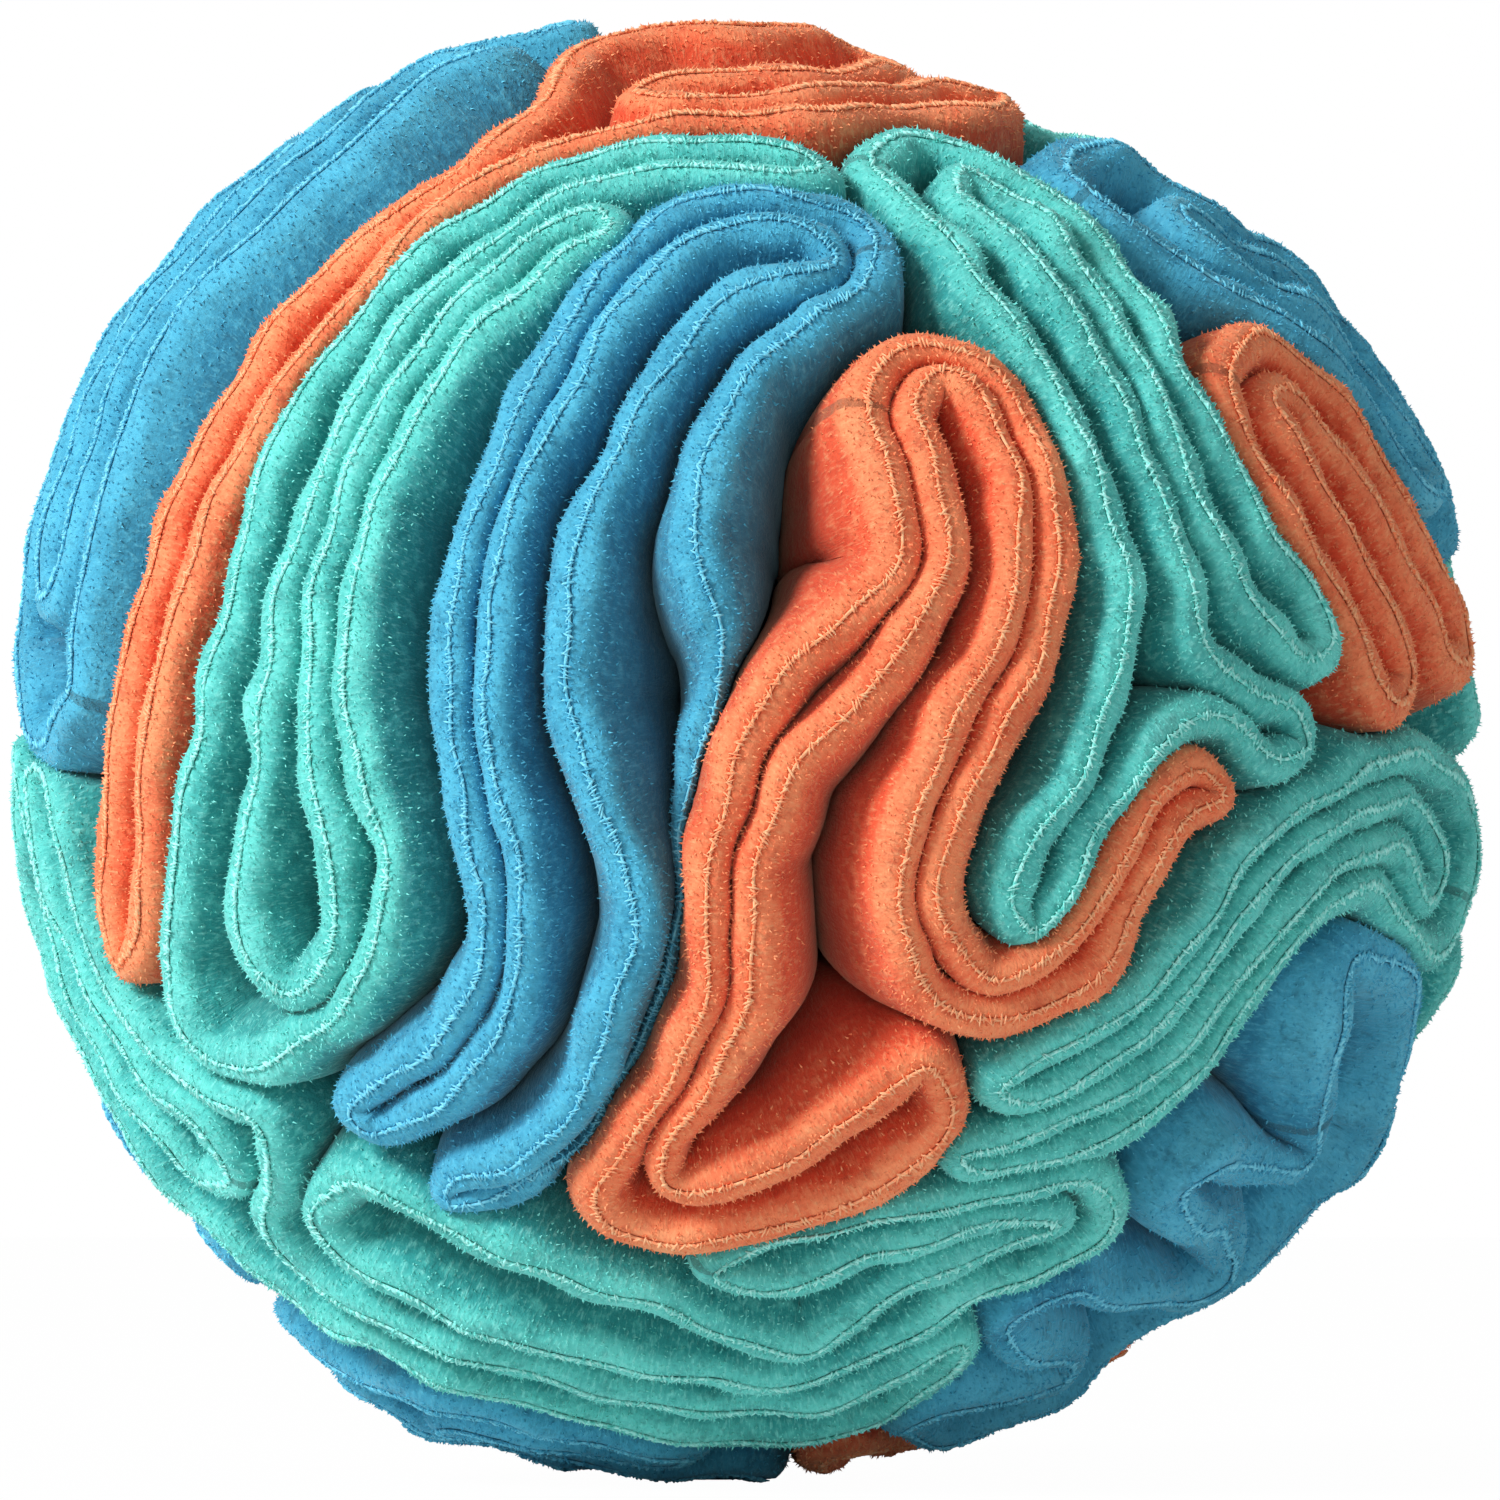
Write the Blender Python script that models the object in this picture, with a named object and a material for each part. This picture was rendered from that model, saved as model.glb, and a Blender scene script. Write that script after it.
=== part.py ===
"""A plush snuffle ball: cloth discs, each of two plush circles sewn together
round the rim, folded back and forth and stitched by their middles to a small
stuffed core, so that their rims wind over the ball and treats hide between.

The ball looks along -Y. A rim's route is written as it is seen from one side
of the ball: shares of the ball's radius to the right and up from its middle,
and where a third value is given, how far the rim is sunk below the surface.
"""

import math

import bpy
import numpy as np
from mathutils.kdtree import KDTree

MM = 0.001

# Driving dimensions
BALL_RADIUS = 80.0 * MM
CORE_RADIUS = 18.0 * MM
COVER_THICKNESS = 1.2 * MM
PLUSH_THICKNESS = 2.7 * MM
SEAM_GAP = 0.3 * MM
GROOVE_DEPTH = 1.0 * MM
FOLD_CLEARANCE = 0.55 * MM
FOOT_DEPTH = 0.5 * MM

# How finely the rims are followed and faceted
ROUTE_STEP = 1.6 * MM
REACH_STEP = 0.4 * MM
FACET_TOLERANCE = 1.05 * MM
LONGEST_FACET = 28.0 * MM
FOOT_FACET = 4.5 * MM
CURVE_STEPS = 12
CORE_SIDES = 12

# The ball's silhouette from the front, clockwise from the top
SILHOUETTE_SHARES = [
    (-0.22, 0.985), (-0.08, 0.99), (0.08, 0.98), (0.20, 0.925), (0.31, 0.90), (0.41, 0.855), (0.50, 0.84),
    (0.58, 0.775), (0.68, 0.70), (0.77, 0.635), (0.84, 0.53), (0.90, 0.44), (0.945, 0.35), (0.975, 0.22),
    (1.0, 0.05), (0.995, -0.08), (0.995, -0.20), (0.97, -0.31), (0.91, -0.42), (0.86, -0.51), (0.82, -0.58),
    (0.74, -0.66), (0.64, -0.725), (0.55, -0.785), (0.45, -0.865), (0.35, -0.915), (0.22, -0.95),
    (0.10, -0.985), (-0.05, -0.985), (-0.20, -0.97), (-0.33, -0.945), (-0.45, -0.92), (-0.55, -0.845),
    (-0.66, -0.745), (-0.76, -0.645), (-0.85, -0.545), (-0.91, -0.41), (-0.955, -0.27), (-0.99, -0.12),
    (-1.0, 0.03), (-0.985, 0.22), (-0.94, 0.40), (-0.86, 0.57), (-0.73, 0.73), (-0.58, 0.85), (-0.42, 0.94),
    (-0.30, 0.965),
]

# Rims that show in front, followed from the photograph
TEAL_LEFT_SHARES = [
    (0.07, 0.795), (-0.04, 0.805), (-0.16, 0.80), (-0.28, 0.765), (-0.39, 0.70), (-0.495, 0.605),
    (-0.585, 0.49), (-0.65, 0.35), (-0.685, 0.20), (-0.725, 0.05), (-0.755, -0.10), (-0.77, -0.25),
    (-0.76, -0.36), (-0.71, -0.415), (-0.63, -0.405), (-0.555, -0.36), (-0.50, -0.28), (-0.48, -0.18),
    (-0.50, -0.06), (-0.53, 0.05), (-0.53, 0.16), (-0.50, 0.30), (-0.455, 0.41), (-0.39, 0.515),
    (-0.32, 0.59), (-0.25, 0.65), (-0.19, 0.69), (-0.205, 0.712), (-0.28, 0.685), (-0.36, 0.615),
    (-0.445, 0.52), (-0.51, 0.41), (-0.555, 0.29), (-0.58, 0.15), (-0.58, 0.02), (-0.56, -0.10),
    (-0.545, -0.20), (-0.565, -0.285), (-0.615, -0.325), (-0.66, -0.285), (-0.675, -0.19), (-0.66, -0.06),
    (-0.64, 0.08), (-0.615, 0.22), (-0.57, 0.35), (-0.515, 0.475), (-0.435, 0.585), (-0.35, 0.67),
    (-0.26, 0.728), (-0.15, 0.765), (-0.04, 0.77), (0.05, 0.765), (0.095, 0.775),
]
BLUE_CENTRE_SHARES = [
    (0.165, 0.665), (0.13, 0.715), (0.05, 0.735), (-0.05, 0.73), (-0.13, 0.70), (-0.19, 0.64),
    (-0.25, 0.545), (-0.31, 0.435), (-0.36, 0.31), (-0.39, 0.17), (-0.39, 0.03), (-0.37, -0.09),
    (-0.35, -0.20), (-0.36, -0.30), (-0.41, -0.385), (-0.48, -0.435), (-0.53, -0.475), (-0.50, -0.51),
    (-0.43, -0.48), (-0.36, -0.42), (-0.315, -0.33), (-0.30, -0.20), (-0.32, -0.09), (-0.345, 0.03),
    (-0.345, 0.17), (-0.32, 0.29), (-0.27, 0.41), (-0.21, 0.52), (-0.15, 0.61), (-0.08, 0.67), (0.0, 0.695),
    (0.08, 0.69), (0.11, 0.65), (0.06, 0.625), (-0.02, 0.60), (-0.10, 0.52), (-0.16, 0.42), (-0.21, 0.31),
    (-0.24, 0.19), (-0.235, 0.06), (-0.20, -0.06), (-0.165, -0.16), (-0.16, -0.27), (-0.19, -0.38),
    (-0.24, -0.48), (-0.31, -0.545), (-0.39, -0.57), (-0.405, -0.595), (-0.36, -0.605, 0.01),
    (-0.29, -0.585, 0.04), (-0.23, -0.53, 0.06), (-0.165, -0.43, 0.08), (-0.115, -0.30, 0.08),
    (-0.105, -0.18, 0.08), (-0.085, -0.06, 0.08), (-0.05, 0.06, 0.06), (-0.035, 0.15, 0.03),
    (-0.06, 0.22, 0.01), (-0.07, 0.33), (-0.04, 0.44), (0.02, 0.52), (0.09, 0.57), (0.145, 0.61),
]
ORANGE_CENTRE_SHARES = [
    (0.155, 0.45), (0.175, 0.385), (0.20, 0.31), (0.185, 0.24), (0.12, 0.17), (0.04, 0.09), (-0.015, 0.0),
    (-0.045, -0.10), (-0.055, -0.20), (-0.055, -0.30), (-0.09, -0.41), (-0.155, -0.51), (-0.205, -0.59),
    (-0.185, -0.635), (-0.09, -0.645), (0.03, -0.635), (0.14, -0.595), (0.23, -0.535), (0.265, -0.47),
    (0.235, -0.415), (0.19, -0.44), (0.13, -0.49), (0.05, -0.54), (-0.04, -0.575), (-0.11, -0.575),
    (-0.115, -0.53), (-0.06, -0.45), (-0.01, -0.36), (0.005, -0.26), (0.005, -0.16), (0.04, -0.06),
    (0.10, 0.02), (0.17, 0.10), (0.235, 0.19), (0.26, 0.29), (0.235, 0.38), (0.215, 0.455), (0.25, 0.50),
    (0.305, 0.465), (0.345, 0.39), (0.355, 0.29), (0.34, 0.18), (0.30, 0.09), (0.25, 0.0), (0.21, -0.10),
    (0.20, -0.20), (0.22, -0.295), (0.29, -0.355), (0.38, -0.345), (0.455, -0.29), (0.505, -0.215),
    (0.54, -0.14), (0.585, -0.085), (0.62, -0.06), (0.60, -0.03), (0.54, -0.06), (0.495, -0.13),
    (0.46, -0.20), (0.40, -0.265), (0.32, -0.30), (0.265, -0.25), (0.25, -0.16), (0.28, -0.07),
    (0.33, 0.02), (0.375, 0.11), (0.40, 0.22), (0.40, 0.33), (0.365, 0.435), (0.30, 0.515), (0.22, 0.535),
    (0.17, 0.505),
]
TEAL_UPPER_RIGHT_SHARES = [
    (0.16, 0.785), (0.21, 0.73), (0.28, 0.655), (0.345, 0.575), (0.40, 0.495), (0.445, 0.40), (0.48, 0.29),
    (0.495, 0.18), (0.475, 0.06), (0.425, -0.05), (0.37, -0.13), (0.345, -0.20), (0.375, -0.24),
    (0.415, -0.19), (0.465, -0.10), (0.525, -0.01), (0.59, 0.04), (0.65, 0.03), (0.70, -0.01),
    (0.74, 0.005), (0.725, 0.055), (0.66, 0.085), (0.605, 0.14), (0.575, 0.23), (0.545, 0.33), (0.51, 0.43),
    (0.46, 0.53), (0.40, 0.62), (0.33, 0.70), (0.27, 0.745), (0.285, 0.775), (0.36, 0.735), (0.43, 0.66),
    (0.49, 0.57), (0.54, 0.47), (0.58, 0.37), (0.625, 0.27), (0.675, 0.185), (0.73, 0.125), (0.765, 0.145),
    (0.745, 0.215), (0.69, 0.295), (0.64, 0.385), (0.59, 0.48), (0.535, 0.58), (0.475, 0.67), (0.40, 0.745),
    (0.31, 0.795), (0.21, 0.82),
]
ORANGE_TOP_LEFT_SHARES = [
    (-0.84, -0.285), (-0.81, -0.22), (-0.81, -0.07), (-0.79, 0.08), (-0.75, 0.23), (-0.695, 0.36),
    (-0.62, 0.49), (-0.53, 0.60), (-0.425, 0.71), (-0.31, 0.785), (-0.18, 0.83), (-0.04, 0.845),
    (0.09, 0.85), (0.21, 0.865), (0.31, 0.865), (0.34, 0.885), (0.27, 0.90), (0.14, 0.885), (0.0, 0.875),
    (-0.11, 0.865), (-0.155, 0.88), (-0.08, 0.90), (0.04, 0.91), (0.14, 0.915), (0.195, 0.93),
    (0.14, 0.957), (0.0, 0.973), (-0.14, 0.968), (-0.235, 0.94), (-0.27, 0.87), (-0.35, 0.80),
    (-0.455, 0.725), (-0.565, 0.635), (-0.66, 0.525), (-0.735, 0.395), (-0.79, 0.26), (-0.83, 0.11),
    (-0.855, -0.04), (-0.86, -0.18),
]
TEAL_BOTTOM_SHARES = [
    (-0.05, -0.69), (0.02, -0.715), (0.09, -0.70), (0.18, -0.665), (0.29, -0.635), (0.38, -0.62),
    (0.41, -0.63), (0.36, -0.65), (0.27, -0.68), (0.19, -0.725), (0.135, -0.77), (0.08, -0.80),
    (-0.02, -0.775), (-0.14, -0.735), (-0.25, -0.695), (-0.36, -0.655), (-0.46, -0.60), (-0.54, -0.575),
    (-0.58, -0.62), (-0.54, -0.675), (-0.44, -0.735), (-0.32, -0.785), (-0.18, -0.82), (-0.04, -0.84),
    (0.09, -0.84), (0.20, -0.79), (0.30, -0.725), (0.39, -0.69), (0.46, -0.655), (0.485, -0.61),
    (0.44, -0.575), (0.34, -0.59), (0.23, -0.615, 0.01), (0.11, -0.655, 0.02), (0.01, -0.675, 0.02),
]
TEAL_LOWER_LEFT_SHARES = [
    (-0.70, -0.565), (-0.73, -0.50), (-0.81, -0.44), (-0.88, -0.335), (-0.93, -0.21), (-0.95, -0.10),
    (-0.92, -0.13), (-0.89, -0.25), (-0.825, -0.37), (-0.74, -0.45), (-0.66, -0.49), (-0.635, -0.555),
    (-0.645, -0.625), (-0.61, -0.685), (-0.53, -0.745), (-0.42, -0.795), (-0.28, -0.84), (-0.12, -0.87),
    (0.04, -0.885), (0.16, -0.86), (0.24, -0.81), (0.28, -0.79), (0.27, -0.83), (0.17, -0.90),
    (0.03, -0.925), (-0.13, -0.915), (-0.30, -0.875), (-0.45, -0.825), (-0.58, -0.765), (-0.67, -0.695),
    (-0.76, -0.61), (-0.85, -0.50), (-0.92, -0.37), (-0.965, -0.24), (-0.985, -0.14), (-0.98, -0.09),
    (-0.967, -0.14), (-0.93, -0.28), (-0.865, -0.42), (-0.79, -0.52), (-0.74, -0.575),
]
TEAL_LOWER_RIGHT_SHARES = [
    (0.965, -0.20), (0.97, -0.09), (0.92, -0.015), (0.84, -0.015), (0.775, -0.055), (0.71, -0.095),
    (0.65, -0.16), (0.595, -0.235), (0.53, -0.315), (0.455, -0.37), (0.38, -0.415), (0.325, -0.45),
    (0.36, -0.47), (0.44, -0.43), (0.52, -0.38), (0.59, -0.305), (0.65, -0.22), (0.71, -0.145),
    (0.78, -0.10), (0.85, -0.07), (0.91, -0.09), (0.93, -0.165), (0.905, -0.20), (0.87, -0.135),
    (0.80, -0.145), (0.73, -0.20), (0.665, -0.28), (0.60, -0.365), (0.53, -0.43), (0.44, -0.48),
    (0.35, -0.515), (0.285, -0.54), (0.33, -0.56), (0.44, -0.525), (0.53, -0.48), (0.60, -0.42),
    (0.66, -0.335), (0.72, -0.255), (0.78, -0.195), (0.84, -0.19), (0.88, -0.24), (0.93, -0.275),
]
ORANGE_RIGHT_SHARES = [
    (0.635, 0.50), (0.665, 0.545), (0.725, 0.53), (0.785, 0.475), (0.84, 0.395), (0.885, 0.315),
    (0.925, 0.245), (0.955, 0.185), (0.965, 0.13), (0.935, 0.135), (0.91, 0.19), (0.87, 0.265),
    (0.82, 0.355), (0.77, 0.425), (0.725, 0.475), (0.695, 0.465), (0.725, 0.41), (0.775, 0.335),
    (0.82, 0.255), (0.86, 0.17), (0.885, 0.10), (0.865, 0.065), (0.835, 0.09), (0.805, 0.165),
    (0.755, 0.26), (0.70, 0.345), (0.66, 0.42),
]
BLUE_LOWER_RIGHT_SHARES = [
    (0.765, -0.50), (0.77, -0.44), (0.775, -0.38), (0.785, -0.325), (0.81, -0.288), (0.85, -0.283),
    (0.885, -0.305), (0.895, -0.35), (0.885, -0.41), (0.868, -0.465), (0.85, -0.51), (0.812, -0.574),
    (0.735, -0.652), (0.636, -0.717), (0.546, -0.778), (0.447, -0.856), (0.348, -0.904), (0.265, -0.925),
    (0.215, -0.91), (0.26, -0.885), (0.32, -0.872), (0.37, -0.866), (0.41, -0.855), (0.43, -0.835),
    (0.40, -0.82), (0.36, -0.805), (0.355, -0.775), (0.40, -0.75), (0.47, -0.735), (0.54, -0.74),
    (0.60, -0.725), (0.645, -0.695), (0.655, -0.665), (0.62, -0.65), (0.585, -0.625), (0.585, -0.585),
    (0.625, -0.56), (0.68, -0.57), (0.73, -0.565), (0.76, -0.54),
]

# Lines that the other folded discs follow
BLUE_TOP_LEFT_LINE_SHARES = [
    (-0.955, 0.03), (-0.933, 0.275), (-0.86, 0.51), (-0.793, 0.627), (-0.673, 0.748), (-0.572, 0.836),
    (-0.495, 0.901), (-0.40, 0.949), (-0.33, 0.96),
]
BLUE_TOP_RIGHT_LINE_SHARES = [(0.44, 0.80), (0.58, 0.71), (0.785, 0.575), (0.925, 0.365)]
BLUE_BOTTOM_LINE_SHARES = [(0.49, -0.13), (0.25, -0.10), (-0.01, -0.09)]
ORANGE_BOTTOM_LINE_SHARES = [(-0.18, -0.14), (-0.24, 0.07), (-0.08, 0.32), (0.30, 0.345)]
TEAL_TOP_LINE_SHARES = [(-0.23, 0.31), (0.06, 0.27), (0.52, 0.18)]
BLUE_BACK_TOP_LINE_SHARES = [(0.40, 0.66), (0.0, 0.73), (-0.42, 0.68)]
TEAL_BACK_LINE_SHARES = [(0.30, 0.43), (0.33, 0.0), (0.28, -0.45)]
ORANGE_BACK_LINE_SHARES = [(-0.30, 0.46), (-0.31, 0.0), (-0.31, -0.43)]
BLUE_BACK_BOTTOM_LINE_SHARES = [(0.37, -0.68), (0.0, -0.71), (-0.40, -0.66)]
ORANGE_SIDE_HIGH_LINE_SHARES = [(-0.66, 0.37), (-0.09, 0.41)]
BLUE_SIDE_LOW_LINE_SHARES = [(-0.66, -0.38), (-0.35, -0.44), (-0.05, -0.41)]
TEAL_SIDE_HIGH_LINE_SHARES = [(0.66, 0.38), (0.28, 0.38), (-0.01, 0.44)]
TEAL_SIDE_LOW_LINE_SHARES = [(0.67, -0.38), (0.28, -0.40), (-0.05, -0.43)]
NARROW_PITCH_SHARE = 0.075
MIDDLE_PITCH_SHARE = 0.085
WIDE_PITCH_SHARE = 0.095
WIDEST_PITCH_SHARE = 0.105
FOLD_POINT_SHARE = 0.05
FOLD_WAVE_SHARE = 0.010
FOLD_WAVELENGTH_SHARE = 0.42
ROUNDING_SHARE = 0.05
INNER_START_PITCHES = 1.1
HOME_BULGE_SHARE = 0.02

# Slow swirls of the folds behind: the axis, the turn at it in whole turns, and the reach in radii
SWIRL_SHARES = [
    ((0.05, 1.0, 0.05), 0.15, 0.46),
    ((-0.80, 0.60, -0.03), -0.13, 0.30),
    ((0.80, 0.60, 0.02), 0.13, 0.30),
    ((-0.50, 0.62, 0.60), 0.11, 0.27),
    ((0.50, 0.62, 0.60), -0.11, 0.27),
    ((0.48, 0.62, -0.62), 0.11, 0.27),
    ((-0.48, 0.62, -0.62), -0.11, 0.27),
    ((0.05, 0.40, 0.92), -0.09, 0.24),
]

# How the folds behind lengthen and crowd each other until they fill the ball
CROWD_ROUNDS = 224
CROWD_LISTED_ROUNDS = 8
CROWD_NODE_SHARE = 0.04
CROWD_REACH_SHARE = 0.104
CROWD_LISTED_SHARE = 0.156
CROWD_PUSH_SHARE = 0.012
CROWD_SPRING_SHARE = 0.40
CROWD_BEND_SHARE = 0.22
CROWD_MOVE_SHARE = 0.006
GROWTH_SHARE = 0.22
FULL_RIM_SHARE = 6.3
PINNED_SHARE = -0.25
LOOSE_SHARE = 0.05
TINY_SHARE = 1e-6

FOLLOWED_RIMS = [
    ("teal_left", "teal", TEAL_LEFT_SHARES),
    ("blue_centre", "blue", BLUE_CENTRE_SHARES),
    ("orange_centre", "orange", ORANGE_CENTRE_SHARES),
    ("teal_upper_right", "teal", TEAL_UPPER_RIGHT_SHARES),
    ("orange_top_left", "orange", ORANGE_TOP_LEFT_SHARES),
    ("teal_bottom", "teal", TEAL_BOTTOM_SHARES),
    ("teal_lower_left", "teal", TEAL_LOWER_LEFT_SHARES),
    ("teal_lower_right", "teal", TEAL_LOWER_RIGHT_SHARES),
    ("orange_right", "orange", ORANGE_RIGHT_SHARES),
    ("blue_lower_right", "blue", BLUE_LOWER_RIGHT_SHARES),
]
FOLDED_RIMS = [
    ("blue_top_left", "blue", BLUE_TOP_LEFT_LINE_SHARES, "front", 4, WIDE_PITCH_SHARE),
    ("blue_top_right", "blue", BLUE_TOP_RIGHT_LINE_SHARES, "front", 4, MIDDLE_PITCH_SHARE),
    ("blue_bottom", "blue", BLUE_BOTTOM_LINE_SHARES, "bottom", 6, NARROW_PITCH_SHARE),
    ("orange_bottom", "orange", ORANGE_BOTTOM_LINE_SHARES, "bottom", 4, NARROW_PITCH_SHARE),
    ("teal_top", "teal", TEAL_TOP_LINE_SHARES, "top", 6, MIDDLE_PITCH_SHARE),
    ("blue_back_top", "blue", BLUE_BACK_TOP_LINE_SHARES, "back", 6, MIDDLE_PITCH_SHARE),
    ("teal_back", "teal", TEAL_BACK_LINE_SHARES, "back", 6, WIDE_PITCH_SHARE),
    ("orange_back", "orange", ORANGE_BACK_LINE_SHARES, "back", 6, WIDE_PITCH_SHARE),
    ("blue_back_bottom", "blue", BLUE_BACK_BOTTOM_LINE_SHARES, "back", 6, MIDDLE_PITCH_SHARE),
    ("orange_side_high", "orange", ORANGE_SIDE_HIGH_LINE_SHARES, "left", 8, WIDEST_PITCH_SHARE),
    ("blue_side_low", "blue", BLUE_SIDE_LOW_LINE_SHARES, "left", 8, WIDEST_PITCH_SHARE),
    ("teal_side_high", "teal", TEAL_SIDE_HIGH_LINE_SHARES, "right", 8, WIDEST_PITCH_SHARE),
    ("teal_side_low", "teal", TEAL_SIDE_LOW_LINE_SHARES, "right", 8, WIDEST_PITCH_SHARE),
]

# Each facing as seen by the one who looks: right, towards the eye, up
FACINGS = {
    "front": ((1, 0, 0), (0, -1, 0), (0, 0, 1)),
    "back": ((-1, 0, 0), (0, 1, 0), (0, 0, 1)),
    "left": ((0, -1, 0), (-1, 0, 0), (0, 0, 1)),
    "right": ((0, 1, 0), (1, 0, 0), (0, 0, 1)),
    "top": ((1, 0, 0), (0, 0, 1), (0, 1, 0)),
    "bottom": ((-1, 0, 0), (0, 0, -1), (0, 1, 0)),
}

# Linear colours and roughness of the cloths
CLOTH_LOOKS = {
    "teal": ((0.05, 0.45, 0.39), 0.95),
    "blue": ((0.04, 0.30, 0.54), 0.95),
    "orange": ((0.84, 0.14, 0.05), 0.95),
    "core_cloth": ((0.05, 0.40, 0.36), 0.9),
    "core_filling": ((0.80, 0.79, 0.76), 1.0),
}


def clear_scene():
    for found in list(bpy.data.objects):
        bpy.data.objects.remove(found, do_unlink=True)


def unit(vectors):
    return vectors / np.linalg.norm(vectors, axis=-1, keepdims=True)


def silhouette_share(directions):
    """How far the silhouette lies out, in ball radii, at each direction's angle seen from the front."""
    outline = np.array(SILHOUETTE_SHARES)
    angles = np.arctan2(outline[:, 1], outline[:, 0])
    order = np.argsort(angles)
    turn = np.arctan2(directions[:, 2], directions[:, 0])
    return np.interp(turn, angles[order], np.hypot(*outline[order].T), period=math.tau)


def ball_radius(directions):
    """The ball is round in the middle of the picture and takes the silhouette's lumps at its edge."""
    edge_share = np.hypot(directions[:, 0], directions[:, 2]) ** 3
    return BALL_RADIUS * (1 + (silhouette_share(directions) - 1) * edge_share)


def direction_of(shares, facing="front"):
    """The direction of a place that is seen at these shares to the right and up."""
    right, towards, up = (np.array(axis, float) for axis in FACINGS[facing])
    sideways, upwards = shares[:2]
    if facing == "front":
        seen = sideways * right + upwards * up
        out = math.hypot(sideways, upwards)
        lump = 1 + (silhouette_share(seen[None])[0] - 1) * out ** 3
        sideways, upwards = sideways / lump, upwards / lump
    inward = max(0, 1 - sideways ** 2 - upwards ** 2)
    return unit(sideways * right + upwards * up + math.sqrt(inward) * towards)


def smooth_stretch(before, start, end, after):
    """A centripetal Catmull-Rom stretch from start to end."""
    knots = [0]
    for here, there in ((before, start), (start, end), (end, after)):
        knots.append(knots[-1] + math.sqrt(max(np.linalg.norm(there - here), TINY_SHARE)))
    k0, k1, k2, k3 = knots
    times = np.linspace(k1, k2, CURVE_STEPS, endpoint=False)[:, None]
    a1 = ((k1 - times) * before + (times - k0) * start) / (k1 - k0)
    a2 = ((k2 - times) * start + (times - k1) * end) / (k2 - k1)
    a3 = ((k3 - times) * end + (times - k2) * after) / (k3 - k2)
    b1 = ((k2 - times) * a1 + (times - k0) * a2) / (k2 - k0)
    b2 = ((k3 - times) * a2 + (times - k1) * a3) / (k3 - k1)
    return ((k2 - times) * b1 + (times - k1) * b2) / (k2 - k1)


def smooth_curve(points, closed):
    points = np.array(points, float)
    if closed:
        points = np.vstack([points[-1:], points, points[:2]])
    else:
        points = np.vstack([2 * points[0] - points[1], points, 2 * points[-1] - points[-2]])
    stretches = [smooth_stretch(*points[i:i + 4]) for i in range(len(points) - 3)]
    return np.vstack(stretches if closed else stretches + [points[-2:-1]])


def even_points(curve, step, closed):
    """Points at equal steps along a curve on the unit sphere."""
    line = np.vstack([curve, curve[:1]]) if closed else curve
    along = np.concatenate([[0], np.cumsum(np.linalg.norm(np.diff(line[:, :3], axis=0), axis=1))])
    count = max(4, round(along[-1] / step))
    places = np.linspace(0, along[-1], count + (not closed), endpoint=not closed)
    points = np.stack([np.interp(places, along, line[:, k]) for k in range(line.shape[1])], axis=1)
    points[:, :3] = unit(points[:, :3])
    return points


def folded_points(line_shares, facing, strands, pitch_share):
    """A rim's points where it runs back and forth beside a line, and home across the line's start."""
    line = smooth_curve([direction_of(place, facing) for place in line_shares], closed=False)
    line = even_points(line, FOLD_POINT_SHARE, closed=False)
    sideways = unit(np.cross(line, np.gradient(line, axis=0)))
    places = FOLD_POINT_SHARE * np.arange(len(line))[:, None]
    middle = (strands - 1) / 2
    points = []
    for strand in range(strands):
        phase = math.tau * places / FOLD_WAVELENGTH_SHARE + strand / 2
        offset = (strand - middle) * pitch_share + FOLD_WAVE_SHARE * np.sin(phase)
        beside = unit(line + offset * sideways)
        start = ROUNDING_SHARE * (abs(strand - middle) / middle) ** 2
        start += 0 if strand in (0, strands - 1) else INNER_START_PITCHES * pitch_share
        end = ROUNDING_SHARE * (abs(2 * (strand // 2) + 0.5 - middle) / middle) ** 2
        run = beside[round(start / FOLD_POINT_SHARE):len(line) - round(end / FOLD_POINT_SHARE)]
        points.append(run if strand % 2 == 0 else run[::-1])
    bulge = HOME_BULGE_SHARE / FOLD_POINT_SHARE
    points.append(unit(line[:1] - bulge * (line[1:2] - line[:1])))
    return np.vstack(points)


def swirled(directions):
    """The directions turned about each swirl's axis, less and less away from it."""
    for place, turn_share, reach_share in SWIRL_SHARES:
        axis = unit(np.array(place))
        along = (directions * axis).sum(axis=1)
        apart = np.arccos(np.clip(along, -1, 1))
        angle = (math.tau * turn_share * np.exp(-(apart / reach_share) ** 2))[:, None]
        lifted = axis * (along[:, None] * (1 - np.cos(angle)))
        directions = directions * np.cos(angle) + np.cross(axis, directions) * np.sin(angle) + lifted
    return unit(directions)


def followed_points(rim_shares):
    sunk = [place[2] if len(place) > 2 else 0 for place in rim_shares]
    return np.array([(*direction_of(place), depth) for place, depth in zip(rim_shares, sunk)])


def before(line):
    return np.roll(line, 1, axis=0)


def after(line):
    return np.roll(line, -1, axis=0)


def close_pairs(lines, fixed):
    """Pairs of a free rim's node and a node near it that isn't close to it along the same rim."""
    nodes = np.vstack(lines)
    counts = np.array([len(line) for line in lines])
    owners = np.concatenate([np.repeat(np.arange(len(lines)), counts), np.full(len(fixed), -1)])
    free, other = np.nonzero(nodes @ np.vstack([nodes, fixed]).T > 1 - CROWD_LISTED_SHARE ** 2 / 2)
    along = np.abs(free - other)
    along = np.minimum(along, counts[owners[free]] - along)
    kept = (owners[free] != owners[other]) | (along * CROWD_NODE_SHARE > CROWD_LISTED_SHARE)
    return free[kept], other[kept]


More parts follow.
